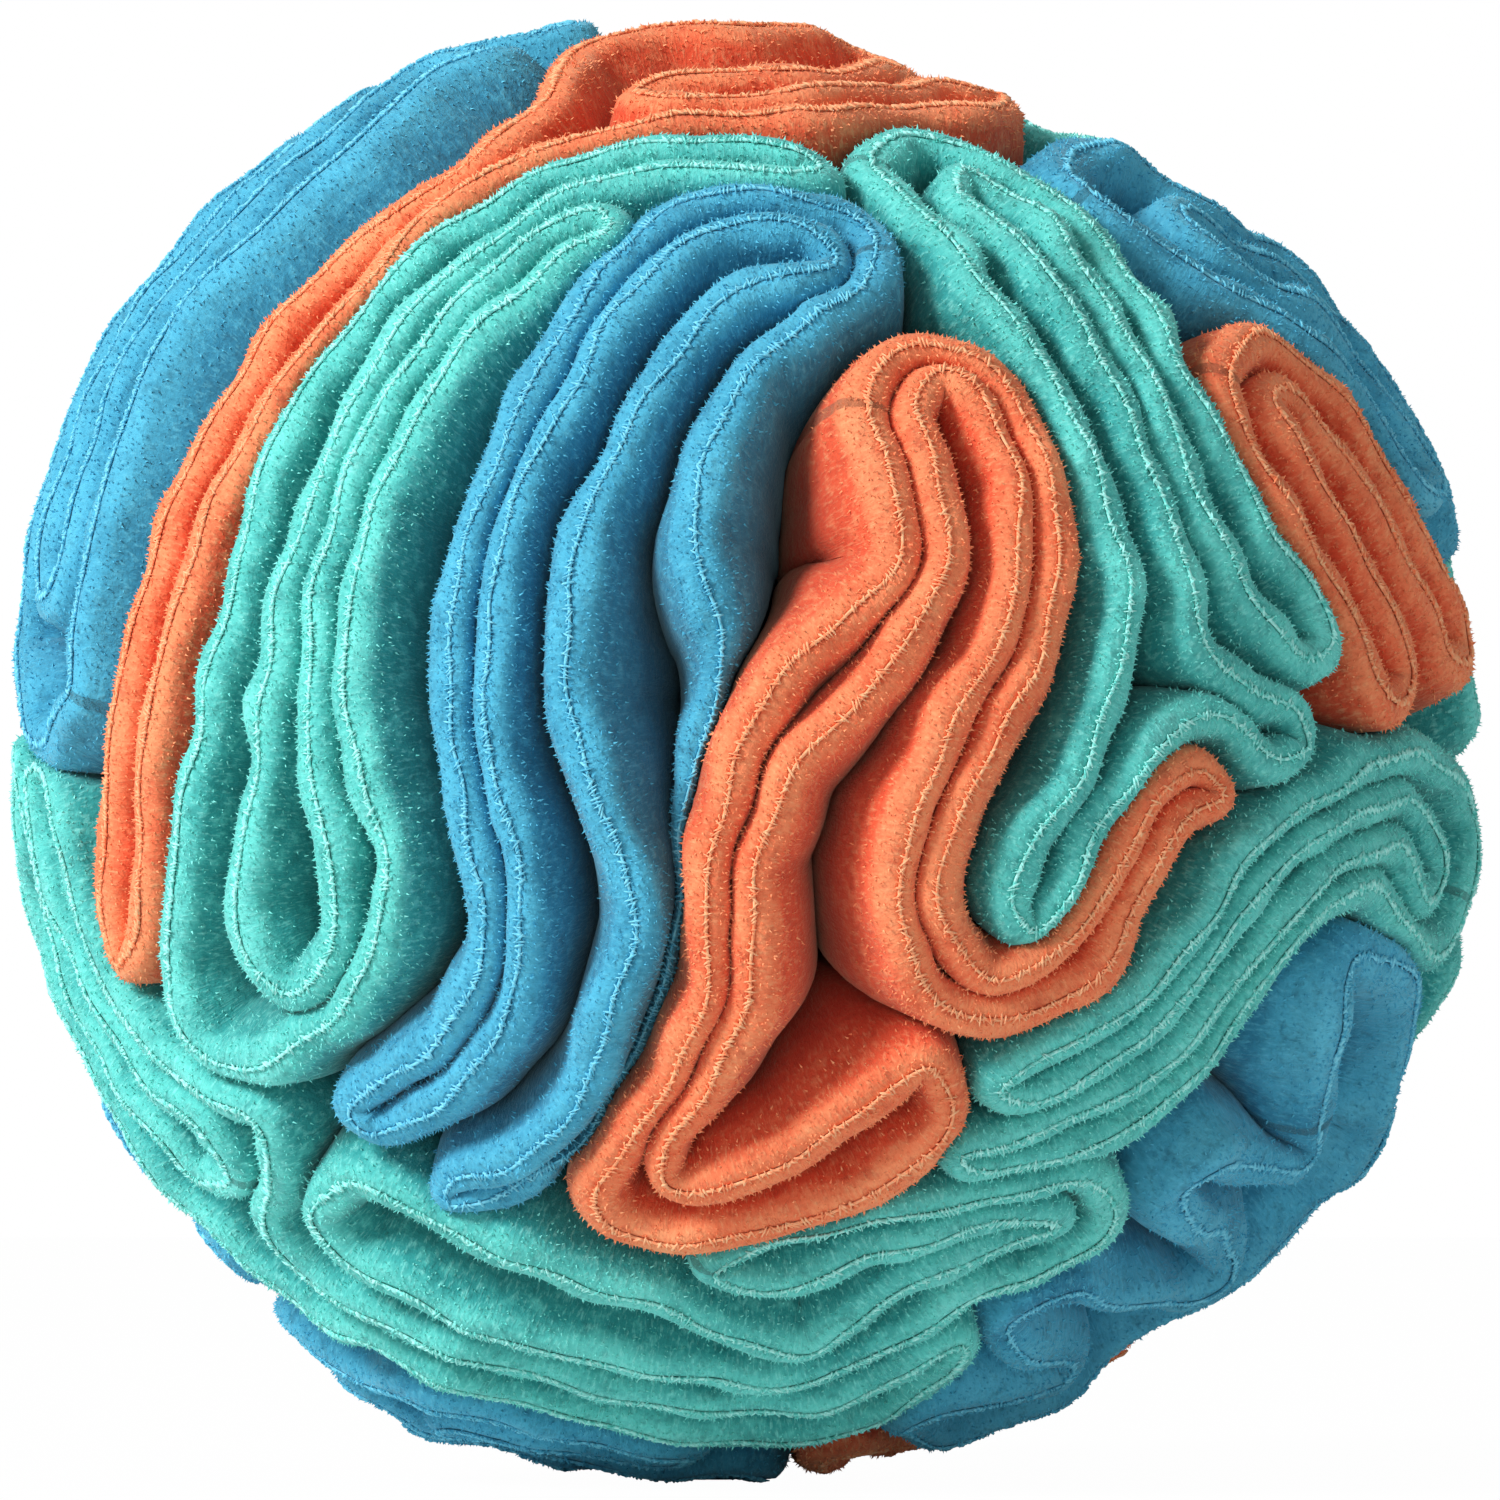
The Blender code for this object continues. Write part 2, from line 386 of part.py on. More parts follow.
def crowded(line, pushed):
    """A rim's line after one small move: pushed by what is near, lengthened and kept smooth."""
    ahead = after(line) - line
    steps = np.linalg.norm(ahead, axis=1, keepdims=True)
    wanted = min(steps.sum() * (1 + GROWTH_SHARE), FULL_RIM_SHARE) / len(line)
    pull = CROWD_SPRING_SHARE * (1 - wanted / steps) * ahead
    bend = (before(line) + after(line)) / 2 - line
    bend -= (before(bend) + after(bend)) / 2
    move = pushed + pull - before(pull) + CROWD_BEND_SHARE * bend
    length = np.linalg.norm(move, axis=1, keepdims=True)
    move *= np.minimum(1, CROWD_MOVE_SHARE / np.maximum(length, TINY_SHARE))
    loose = np.clip((line[:, 1:2] - PINNED_SHARE) / (LOOSE_SHARE - PINNED_SHARE), 0, 1)
    return unit(line + loose * move)


def crowd(lines, fixed):
    """Lets the free rims lengthen and push each other until they fill the room that is left."""
    for done in range(CROWD_ROUNDS):
        if done % CROWD_LISTED_ROUNDS == 0:
            lines = [even_points(line, CROWD_NODE_SHARE, closed=True) for line in lines]
            free, other = close_pairs(lines, fixed)
        nodes = np.vstack(lines)
        gaps = nodes[free] - np.vstack([nodes, fixed])[other]
        apart = np.maximum(np.linalg.norm(gaps, axis=1, keepdims=True), TINY_SHARE)
        pushes = CROWD_PUSH_SHARE * np.maximum(0, 1 - apart / CROWD_REACH_SHARE) * gaps / apart
        pushed = np.stack([np.bincount(free, pushes[:, k], len(nodes)) for k in range(3)], axis=1)
        ends = np.cumsum([len(line) for line in lines])
        lines = [crowded(line, own) for line, own in zip(lines, np.split(pushed, ends[:-1]))]
    return lines


class Rim:
    """One disc's rim: directions, sunk shares, side vectors and how far each side is free."""

    def __init__(self, name, colour, points):
        self.name = name
        self.colour = colour
        route = even_points(smooth_curve(points, closed=True), ROUTE_STEP / BALL_RADIUS, closed=True)
        middle = unit(route[:, :3].sum(axis=0))
        turned = np.cross(route[:, :3], after(route[:, :3])).sum(axis=0)
        if turned @ middle < 0:
            route = route[::-1]
        self.directions = route[:, :3]
        self.heights = ball_radius(self.directions) - BALL_RADIUS * route[:, 3]
        ahead = after(self.directions) - before(self.directions)
        self.sides = unit(np.cross(self.directions, ahead))
        self.reaches = {}

    def length(self):
        steps = after(self.directions) - self.directions
        return BALL_RADIUS * np.linalg.norm(steps, axis=1).sum()


def make_rims():
    followed = [followed_points(rim_shares) for _, _, rim_shares in FOLLOWED_RIMS]
    curves = [smooth_curve(points, closed=True) for points in followed]
    fixed = [even_points(curve, CROWD_NODE_SHARE, closed=True) for curve in curves]
    folded = [swirled(smooth_curve(folded_points(*folding), closed=True)) for _, _, *folding in FOLDED_RIMS]
    folded = crowd(folded, np.vstack(fixed)[:, :3])
    folded = [np.hstack([line, np.zeros((len(line), 1))]) for line in folded]
    named = zip(FOLLOWED_RIMS + FOLDED_RIMS, followed + folded)
    return [Rim(name, colour, points) for (name, colour, *_), points in named]


def measure_reaches(rims):
    """How far to each side the nearest rim is still the one that it is measured from."""
    tree = KDTree(sum(len(rim.directions) for rim in rims))
    for rim in rims:
        for place in rim.directions * BALL_RADIUS:
            tree.insert(place, 0)
    tree.balance()
    widest = PLUSH_THICKNESS + FOLD_CLEARANCE + REACH_STEP
    for rim in rims:
        for side in (1, -1):
            reach = np.zeros(len(rim.directions))
            for i, (direction, across) in enumerate(zip(rim.directions, rim.sides)):
                while reach[i] < widest:
                    tried = reach[i] + REACH_STEP
                    place = unit(direction * BALL_RADIUS + side * tried * across) * BALL_RADIUS
                    if tree.find(place)[2] < tried - REACH_STEP:
                        break
                    reach[i] = tried
            beside = [np.roll(reach, shift) for shift in (-1, 0, 1)]
            rim.reaches[side] = np.min(beside, axis=0)


def foot_angle():
    return math.acos(1 - FOOT_DEPTH / BALL_RADIUS)


def angle_from_foot(directions):
    return np.arccos(np.clip(-directions[:, 2], -1, 1))


def facet_places(rim):
    """The fewest places along a rim whose straight facets stay near it, closer together at the foot."""
    count = len(rim.directions)
    longest = round(LONGEST_FACET / ROUTE_STEP)
    closest = round(FOOT_FACET / ROUTE_STEP)
    at_foot = angle_from_foot(rim.directions) < 1.3 * foot_angle()
    places = [0]
    while places[-1] < count:
        start = places[-1]
        best = start + 1
        for end in range(start + 2, min(start + longest, count) + 1):
            first, last = rim.directions[start], rim.directions[end % count]
            level = unit(np.cross(first, last))
            between = np.arange(start + 1, end) % count
            if np.abs(rim.directions[between] @ level).max() * BALL_RADIUS > FACET_TOLERANCE:
                break
            if end - start > closest and at_foot[between].any():
                break
            best = end
        places.append(best)
    return np.array(places[:-1])


def layer_width(rim, places, side):
    """A layer's width at each place: the plush's own, or what the tightest stretch beside it leaves."""
    count = len(rim.directions)
    widths = []
    for before, here, after in zip(np.roll(places, 1), places, np.roll(places, -1)):
        stretch = np.arange(here - (here - before) % count, here + (after - here) % count + 1) % count
        tightest = rim.reaches[side][stretch].min()
        widths.append(min(PLUSH_THICKNESS, tightest - FOLD_CLEARANCE))
    return np.maximum(widths, SEAM_GAP)


def foot_fade(directions):
    """0 at the place that the ball stands on and 1 away from it."""
    return np.clip(angle_from_foot(directions) / foot_angle() - 1.2, 0, 1)


def make_material(name):
    colour, roughness = CLOTH_LOOKS[name]
    material = bpy.data.materials.new(name + ("_plush" if name in ("teal", "blue", "orange") else ""))
    material.use_nodes = True
    shader = material.node_tree.nodes["Principled BSDF"]
    shader.inputs["Base Color"].default_value = (*colour, 1)
    shader.inputs["Roughness"].default_value = roughness
    shader.inputs["Metallic"].default_value = 0
    material.diffuse_color = (*colour, 1)
    return material


def add_object(name, points, faces, material, smooth=True):
    mesh = bpy.data.meshes.new(name)
    mesh.from_pydata([tuple(point) for point in points], [], faces)
    mesh.validate()
    if smooth:
        mesh.shade_smooth()
        mesh.set_sharp_from_angle(angle=math.radians(40))
    mesh.materials.append(material)
    made = bpy.data.objects.new(name, mesh)
    bpy.context.scene.collection.objects.link(made)
    return made


def make_circle(rim, places, side, floor_height, material):
    """One plush circle of a disc: a closed wall from the rim down to the core, thinner towards the core."""
    directions, sides = rim.directions[places], side * rim.sides[places]
    heights = rim.heights[places]
    widths = layer_width(rim, places, side)
    root_height = CORE_RADIUS + SEAM_GAP
    half_gap = SEAM_GAP / 2
    groove = GROOVE_DEPTH * foot_fade(directions)
    rings = [
        unit(directions + sides * (half_gap / BALL_RADIUS)) * (heights - groove)[:, None],
        unit(directions + sides * (widths / BALL_RADIUS)[:, None]) * heights[:, None],
        unit(directions + sides * (half_gap / root_height)) * root_height,
    ]
    points = np.stack(rings, axis=1).reshape(-1, 3)
    points[:, 2] = np.maximum(points[:, 2], -floor_height) + floor_height
    count, corners = len(places), len(rings)
    faces = []
    for i in range(count):
        for k in range(corners):
            here, there = i * corners, (i + 1) % count * corners
            quad = [here + k, here + (k + 1) % corners, there + (k + 1) % corners, there + k]
            faces.append(quad[::-1] if side > 0 else quad)
    label = "inner_circle" if side > 0 else "outer_circle"
    return add_object(f"{rim.name}_{label}", points, faces, material)


def lathe(profile, height, flip):
    """Rings of points turned about Y from (radius, place along Y) pairs, with a pole at each zero radius."""
    points, rings = [], []
    for radius, along in profile:
        if radius == 0:
            rings.append([len(points)] * CORE_SIDES)
            points.append((0, along, height))
            continue
        rings.append(list(range(len(points), len(points) + CORE_SIDES)))
        for k in range(CORE_SIDES):
            angle = math.tau * k / CORE_SIDES
            points.append((radius * math.cos(angle), along, height + radius * math.sin(angle)))
    faces = []
    for low, high in zip(rings, rings[1:] + rings[:1]):
        for k in range(CORE_SIDES):
            after = (k + 1) % CORE_SIDES
            corners = list(dict.fromkeys([low[k], low[after], high[after], high[k]]))
            if len(corners) > 2:
                faces.append(corners[::-1] if flip else corners)
    return points, faces


def make_core(middle_height, cloth, filling):
    """The stuffed core: its filling and the two halves of its cloth cover, sewn at the middle."""
    rows = CORE_SIDES // 4
    inner_radius = CORE_RADIUS - COVER_THICKNESS
    half_gap = SEAM_GAP / 2
    for label, sign in (("front", -1), ("back", 1)):
        profile = []
        for radius, steps in ((CORE_RADIUS, range(rows + 1)), (inner_radius, range(rows, -1, -1))):
            for step in steps:
                angle = math.pi / 2 * step / rows
                out = 0 if step == rows else radius * math.cos(angle)
                profile.append((out, sign * max(radius * math.sin(angle), half_gap)))
        points, faces = lathe(profile, middle_height, flip=sign > 0)
        add_object(f"core_cover_{label}", points, faces, cloth)
    stuffing = inner_radius - SEAM_GAP
    profile = [(0 if step in (0, 2 * rows) else stuffing * math.sin(math.pi * step / (2 * rows)),
                stuffing * math.cos(math.pi * step / (2 * rows))) for step in range(2 * rows + 1)]
    points, faces = lathe(profile, middle_height, flip=False)
    add_object("core_filling", points, faces, filling)


def stand_on_origin():
    """Moves the ball sideways so that the middle of its box stands over the origin."""
    boxes = [np.array(made.bound_box) for made in bpy.context.scene.objects]
    corners = np.vstack(boxes)
    middle = (corners.min(axis=0) + corners.max(axis=0)) / 2
    for made in bpy.context.scene.objects:
        made.location = (-middle[0], -middle[1], 0)


def main():
    clear_scene()
    materials = {name: make_material(name) for name in CLOTH_LOOKS}
    rims = make_rims()
    measure_reaches(rims)
    lowest = max(BALL_RADIUS * silhouette_share(np.array([[0, 0, -1.0]]))[0], CORE_RADIUS)
    floor_height = lowest - FOOT_DEPTH
    samples = 0
    for rim in rims:
        places = facet_places(rim)
        samples += len(places)
        for side in (1, -1):
            make_circle(rim, places, side, floor_height, materials[rim.colour])
        tight = min(rim.reaches[1].min(), rim.reaches[-1].min()) / MM
        print(f"{rim.name}: rim {rim.length() / MM:.0f} mm, {len(places)} places, least room {tight:.1f} mm")
    make_core(floor_height, materials["core_cloth"], materials["core_filling"])
    stand_on_origin()
    print(f"{len(rims)} discs, {samples} places")


main()
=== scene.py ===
# %% [markdown]
# # A plush snuffle ball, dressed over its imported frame
# A snuffle ball is a ball of plush that a pet noses treats out of. It is made
# of cloth discs, each of two plush circles sewn together round the rim. The
# discs are stitched by their middles to a small stuffed core and stand so
# close that their rims fold back and forth and make the ball's surface.
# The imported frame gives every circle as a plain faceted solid. This lesson
# dresses each of them in cloth with a rounded lip, a soft slope, a pile and a
# sewn seam, in the same place.

# %% Load the frame
import math

import bpy
import numpy as np
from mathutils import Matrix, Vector, noise as clouds
from mathutils.kdtree import KDTree

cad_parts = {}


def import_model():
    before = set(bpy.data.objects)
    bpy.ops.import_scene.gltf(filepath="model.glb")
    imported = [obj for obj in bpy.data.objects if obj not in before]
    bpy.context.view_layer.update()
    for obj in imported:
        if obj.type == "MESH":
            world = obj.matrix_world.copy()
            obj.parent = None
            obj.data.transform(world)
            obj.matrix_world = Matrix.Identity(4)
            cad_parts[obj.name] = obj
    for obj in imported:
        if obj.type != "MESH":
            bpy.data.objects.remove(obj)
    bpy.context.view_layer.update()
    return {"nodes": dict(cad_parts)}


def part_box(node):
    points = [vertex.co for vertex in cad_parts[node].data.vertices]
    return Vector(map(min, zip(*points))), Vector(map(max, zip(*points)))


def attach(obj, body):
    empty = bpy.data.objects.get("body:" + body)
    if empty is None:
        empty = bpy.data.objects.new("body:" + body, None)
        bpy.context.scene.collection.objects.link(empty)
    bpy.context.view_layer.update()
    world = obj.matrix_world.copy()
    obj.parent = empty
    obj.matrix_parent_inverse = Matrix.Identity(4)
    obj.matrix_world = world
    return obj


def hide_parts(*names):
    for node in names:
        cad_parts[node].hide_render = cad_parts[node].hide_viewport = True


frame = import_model()
MM = 0.001
BALL_RADIUS = 80.0 * MM
core_low, core_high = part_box("core_filling")
CENTRE = np.array((core_low + core_high) / 2)
print(f"{len(frame['nodes'])} nodes, ball centre {np.round(CENTRE / MM, 2)} mm")

# %% [markdown]
# ## Where the rims run
# Each rim is a closed line that winds over the ball. The ones that show in
# front are written as they are seen: shares of the ball's radius to the right
# and up from its middle, and sometimes how far the rim is sunk.

# %% The silhouette and the left-hand rims
SILHOUETTE_SHARES = [
    (-0.22, 0.985), (-0.08, 0.99), (0.08, 0.98), (0.20, 0.925), (0.31, 0.90), (0.41, 0.855),
    (0.50, 0.84), (0.58, 0.775), (0.68, 0.70), (0.77, 0.635), (0.84, 0.53), (0.90, 0.44),
    (0.945, 0.35), (0.975, 0.22), (1.0, 0.05), (0.995, -0.08), (0.995, -0.20), (0.97, -0.31),
    (0.91, -0.42), (0.86, -0.51), (0.82, -0.58), (0.74, -0.66), (0.64, -0.725), (0.55, -0.785),
    (0.45, -0.865), (0.35, -0.915), (0.22, -0.95), (0.10, -0.985), (-0.05, -0.985), (-0.20, -0.97),
    (-0.33, -0.945), (-0.45, -0.92), (-0.55, -0.845), (-0.66, -0.745), (-0.76, -0.645),
    (-0.85, -0.545), (-0.91, -0.41), (-0.955, -0.27), (-0.99, -0.12), (-1.0, 0.03), (-0.985, 0.22),
    (-0.94, 0.40), (-0.86, 0.57), (-0.73, 0.73), (-0.58, 0.85), (-0.42, 0.94), (-0.30, 0.965),
]
TEAL_LEFT_SHARES = [
    (0.07, 0.795), (-0.04, 0.805), (-0.16, 0.80), (-0.28, 0.765), (-0.39, 0.70), (-0.495, 0.605),
    (-0.585, 0.49), (-0.65, 0.35), (-0.685, 0.20), (-0.725, 0.05), (-0.755, -0.10), (-0.77, -0.25),
    (-0.76, -0.36), (-0.71, -0.415), (-0.63, -0.405), (-0.555, -0.36), (-0.50, -0.28),
    (-0.48, -0.18), (-0.50, -0.06), (-0.53, 0.05), (-0.53, 0.16), (-0.50, 0.30), (-0.455, 0.41),
    (-0.39, 0.515), (-0.32, 0.59), (-0.25, 0.65), (-0.19, 0.69), (-0.205, 0.712), (-0.28, 0.685),
    (-0.36, 0.615), (-0.445, 0.52), (-0.51, 0.41), (-0.555, 0.29), (-0.58, 0.15), (-0.58, 0.02),
    (-0.56, -0.10), (-0.545, -0.20), (-0.565, -0.285), (-0.615, -0.325), (-0.66, -0.285),
    (-0.675, -0.19), (-0.66, -0.06), (-0.64, 0.08), (-0.615, 0.22), (-0.57, 0.35), (-0.515, 0.475),
    (-0.435, 0.585), (-0.35, 0.67), (-0.26, 0.728), (-0.15, 0.765), (-0.04, 0.77), (0.05, 0.765),
    (0.095, 0.775),
]
BLUE_CENTRE_SHARES = [
    (0.165, 0.665), (0.13, 0.715), (0.05, 0.735), (-0.05, 0.73), (-0.13, 0.70), (-0.19, 0.64),
    (-0.25, 0.545), (-0.31, 0.435), (-0.36, 0.31), (-0.39, 0.17), (-0.39, 0.03), (-0.37, -0.09),
    (-0.35, -0.20), (-0.36, -0.30), (-0.41, -0.385), (-0.48, -0.435), (-0.53, -0.475),
    (-0.50, -0.51), (-0.43, -0.48), (-0.36, -0.42), (-0.315, -0.33), (-0.30, -0.20), (-0.32, -0.09),
    (-0.345, 0.03), (-0.345, 0.17), (-0.32, 0.29), (-0.27, 0.41), (-0.21, 0.52), (-0.15, 0.61),
    (-0.08, 0.67), (0.0, 0.695), (0.08, 0.69), (0.11, 0.65), (0.06, 0.625), (-0.02, 0.60),
    (-0.10, 0.52), (-0.16, 0.42), (-0.21, 0.31), (-0.24, 0.19), (-0.235, 0.06), (-0.20, -0.06),
    (-0.165, -0.16), (-0.16, -0.27), (-0.19, -0.38), (-0.24, -0.48), (-0.31, -0.545),
    (-0.39, -0.57), (-0.405, -0.595), (-0.36, -0.605, 0.01), (-0.29, -0.585, 0.04),
    (-0.23, -0.53, 0.06), (-0.165, -0.43, 0.08), (-0.115, -0.30, 0.08), (-0.105, -0.18, 0.08),
    (-0.085, -0.06, 0.08), (-0.05, 0.06, 0.06), (-0.035, 0.15, 0.03), (-0.06, 0.22, 0.01),
    (-0.07, 0.33), (-0.04, 0.44), (0.02, 0.52), (0.09, 0.57), (0.145, 0.61),
]
ORANGE_TOP_LEFT_SHARES = [
    (-0.84, -0.285), (-0.81, -0.22), (-0.81, -0.07), (-0.79, 0.08), (-0.75, 0.23), (-0.695, 0.36),
    (-0.62, 0.49), (-0.53, 0.60), (-0.425, 0.71), (-0.31, 0.785), (-0.18, 0.83), (-0.04, 0.845),
    (0.09, 0.85), (0.21, 0.865), (0.31, 0.865), (0.34, 0.885), (0.27, 0.90), (0.14, 0.885),
    (0.0, 0.875), (-0.11, 0.865), (-0.155, 0.88), (-0.08, 0.90), (0.04, 0.91), (0.14, 0.915),
    (0.195, 0.93), (0.14, 0.957), (0.0, 0.973), (-0.14, 0.968), (-0.235, 0.94), (-0.27, 0.87),
    (-0.35, 0.80), (-0.455, 0.725), (-0.565, 0.635), (-0.66, 0.525), (-0.735, 0.395), (-0.79, 0.26),
    (-0.83, 0.11), (-0.855, -0.04), (-0.86, -0.18),
]
TEAL_LOWER_LEFT_SHARES = [
    (-0.70, -0.565), (-0.73, -0.50), (-0.81, -0.44), (-0.88, -0.335), (-0.94, -0.20),
    (-0.967, -0.03), (-0.935, -0.07), (-0.89, -0.25), (-0.825, -0.37), (-0.74, -0.45),
    (-0.66, -0.49), (-0.635, -0.555), (-0.645, -0.625), (-0.61, -0.685), (-0.53, -0.745),
    (-0.42, -0.795), (-0.28, -0.84), (-0.12, -0.87), (0.04, -0.885), (0.16, -0.86), (0.24, -0.81),
    (0.28, -0.79), (0.27, -0.83), (0.17, -0.90), (0.03, -0.925), (-0.13, -0.915), (-0.30, -0.875),
    (-0.45, -0.825), (-0.58, -0.765), (-0.67, -0.695), (-0.76, -0.61), (-0.85, -0.50),
    (-0.92, -0.37), (-0.965, -0.24), (-0.988, -0.12), (-0.988, 0.0), (-0.975, -0.06),
    (-0.93, -0.28), (-0.865, -0.42), (-0.79, -0.52), (-0.74, -0.575),
]

# %% The middle and right-hand rims
ORANGE_CENTRE_SHARES = [
    (0.155, 0.45), (0.175, 0.385), (0.20, 0.31), (0.185, 0.24), (0.12, 0.17), (0.04, 0.09),
    (-0.015, 0.0), (-0.045, -0.10), (-0.055, -0.20), (-0.055, -0.30), (-0.09, -0.41),
    (-0.155, -0.51), (-0.205, -0.59), (-0.185, -0.635), (-0.09, -0.645), (0.03, -0.635),
    (0.14, -0.595), (0.23, -0.535), (0.265, -0.47), (0.235, -0.415), (0.19, -0.44), (0.13, -0.49),
    (0.05, -0.54), (-0.04, -0.575), (-0.11, -0.575), (-0.115, -0.53), (-0.06, -0.45),
    (-0.01, -0.36), (0.005, -0.26), (0.005, -0.16), (0.04, -0.06), (0.10, 0.02), (0.17, 0.10),
    (0.235, 0.19), (0.26, 0.29), (0.235, 0.38), (0.215, 0.455), (0.25, 0.50), (0.305, 0.465),
    (0.345, 0.39), (0.355, 0.29), (0.34, 0.18), (0.30, 0.09), (0.25, 0.0), (0.21, -0.10),
    (0.20, -0.20), (0.22, -0.295), (0.29, -0.355), (0.38, -0.345), (0.455, -0.29), (0.505, -0.215),
    (0.54, -0.14), (0.585, -0.085), (0.62, -0.06), (0.60, -0.03), (0.54, -0.06), (0.495, -0.13),
    (0.46, -0.20), (0.40, -0.265), (0.32, -0.30), (0.265, -0.25), (0.25, -0.16), (0.28, -0.07),
    (0.33, 0.02), (0.375, 0.11), (0.40, 0.22), (0.40, 0.33), (0.365, 0.435), (0.30, 0.515),
    (0.22, 0.535), (0.17, 0.505),
]
TEAL_UPPER_RIGHT_SHARES = [
    (0.16, 0.785), (0.21, 0.73), (0.28, 0.655), (0.345, 0.575), (0.40, 0.495), (0.445, 0.40),
    (0.48, 0.29), (0.495, 0.18), (0.475, 0.06), (0.425, -0.05), (0.37, -0.13), (0.345, -0.20),
    (0.375, -0.24), (0.415, -0.19), (0.465, -0.10), (0.525, -0.01), (0.59, 0.04), (0.65, 0.03),
    (0.70, -0.01), (0.74, 0.005), (0.725, 0.055), (0.66, 0.085), (0.605, 0.14), (0.575, 0.23),
    (0.545, 0.33), (0.51, 0.43), (0.46, 0.53), (0.40, 0.62), (0.33, 0.70), (0.27, 0.745),
    (0.285, 0.775), (0.36, 0.735), (0.43, 0.66), (0.49, 0.57), (0.54, 0.47), (0.58, 0.37),
    (0.625, 0.27), (0.675, 0.185), (0.73, 0.125), (0.765, 0.145), (0.745, 0.215), (0.69, 0.295),
    (0.64, 0.385), (0.59, 0.48), (0.535, 0.58), (0.475, 0.67), (0.40, 0.745), (0.31, 0.795),
    (0.21, 0.82),
]
TEAL_BOTTOM_SHARES = [
    (-0.05, -0.69), (0.02, -0.715), (0.09, -0.70), (0.18, -0.665), (0.29, -0.635), (0.38, -0.62),
    (0.41, -0.63), (0.36, -0.65), (0.27, -0.68), (0.19, -0.725), (0.135, -0.77), (0.08, -0.80),
    (-0.02, -0.775), (-0.14, -0.735), (-0.25, -0.695), (-0.36, -0.655), (-0.46, -0.60),
    (-0.54, -0.575), (-0.58, -0.62), (-0.54, -0.675), (-0.44, -0.735), (-0.32, -0.785),
    (-0.18, -0.82), (-0.04, -0.84), (0.09, -0.84), (0.20, -0.79), (0.30, -0.725), (0.39, -0.69),
    (0.46, -0.655), (0.485, -0.61), (0.44, -0.575), (0.34, -0.59), (0.23, -0.615, 0.01),
    (0.11, -0.655, 0.02), (0.01, -0.675, 0.02),
]
TEAL_LOWER_RIGHT_SHARES = [
    (0.965, -0.20), (0.97, -0.09), (0.92, -0.015), (0.84, -0.015), (0.775, -0.055), (0.71, -0.095),
    (0.65, -0.16), (0.595, -0.235), (0.53, -0.315), (0.455, -0.37), (0.38, -0.415), (0.325, -0.45),
    (0.36, -0.47), (0.44, -0.43), (0.52, -0.38), (0.59, -0.305), (0.65, -0.22), (0.71, -0.145),
    (0.78, -0.10), (0.85, -0.07), (0.91, -0.09), (0.93, -0.165), (0.905, -0.20), (0.87, -0.135),
    (0.80, -0.145), (0.73, -0.20), (0.665, -0.28), (0.60, -0.365), (0.53, -0.43), (0.44, -0.48),
    (0.35, -0.515), (0.285, -0.54), (0.33, -0.56), (0.44, -0.525), (0.53, -0.48), (0.60, -0.42),
    (0.66, -0.335), (0.72, -0.255), (0.78, -0.195), (0.84, -0.19), (0.88, -0.24), (0.93, -0.275),
]
ORANGE_RIGHT_SHARES = [
    (0.635, 0.50), (0.665, 0.545), (0.725, 0.53), (0.785, 0.475), (0.84, 0.395), (0.885, 0.315),
    (0.925, 0.245), (0.955, 0.185), (0.965, 0.13), (0.935, 0.135), (0.91, 0.19), (0.87, 0.265),
    (0.82, 0.355), (0.77, 0.425), (0.725, 0.475), (0.695, 0.465), (0.725, 0.41), (0.775, 0.335),
    (0.82, 0.255), (0.86, 0.17), (0.885, 0.10), (0.865, 0.065), (0.835, 0.09), (0.805, 0.165),
    (0.755, 0.26), (0.70, 0.345), (0.66, 0.42),
]
BLUE_LOWER_RIGHT_SHARES = [
    (0.765, -0.50), (0.77, -0.44), (0.775, -0.38), (0.785, -0.325), (0.81, -0.288), (0.85, -0.283),
    (0.885, -0.305), (0.895, -0.35), (0.885, -0.41), (0.868, -0.465), (0.85, -0.51),
    (0.812, -0.574), (0.735, -0.652), (0.636, -0.717), (0.546, -0.778), (0.447, -0.856),
    (0.348, -0.904), (0.265, -0.925), (0.215, -0.91), (0.26, -0.885), (0.32, -0.872),
    (0.37, -0.866), (0.41, -0.855), (0.43, -0.835), (0.40, -0.82), (0.36, -0.805), (0.355, -0.775),
    (0.40, -0.75), (0.47, -0.735), (0.54, -0.74), (0.60, -0.725), (0.645, -0.695), (0.655, -0.665),
    (0.62, -0.65), (0.585, -0.625), (0.585, -0.585), (0.625, -0.56), (0.68, -0.57), (0.73, -0.565),
    (0.76, -0.54),
]

# %% [markdown]
# The sides, the top, the underside and the back carry discs of the same kind.
# Their rims run back and forth beside a line that is seen from that side, so
# a short line, a count of strands and their spacing are enough.

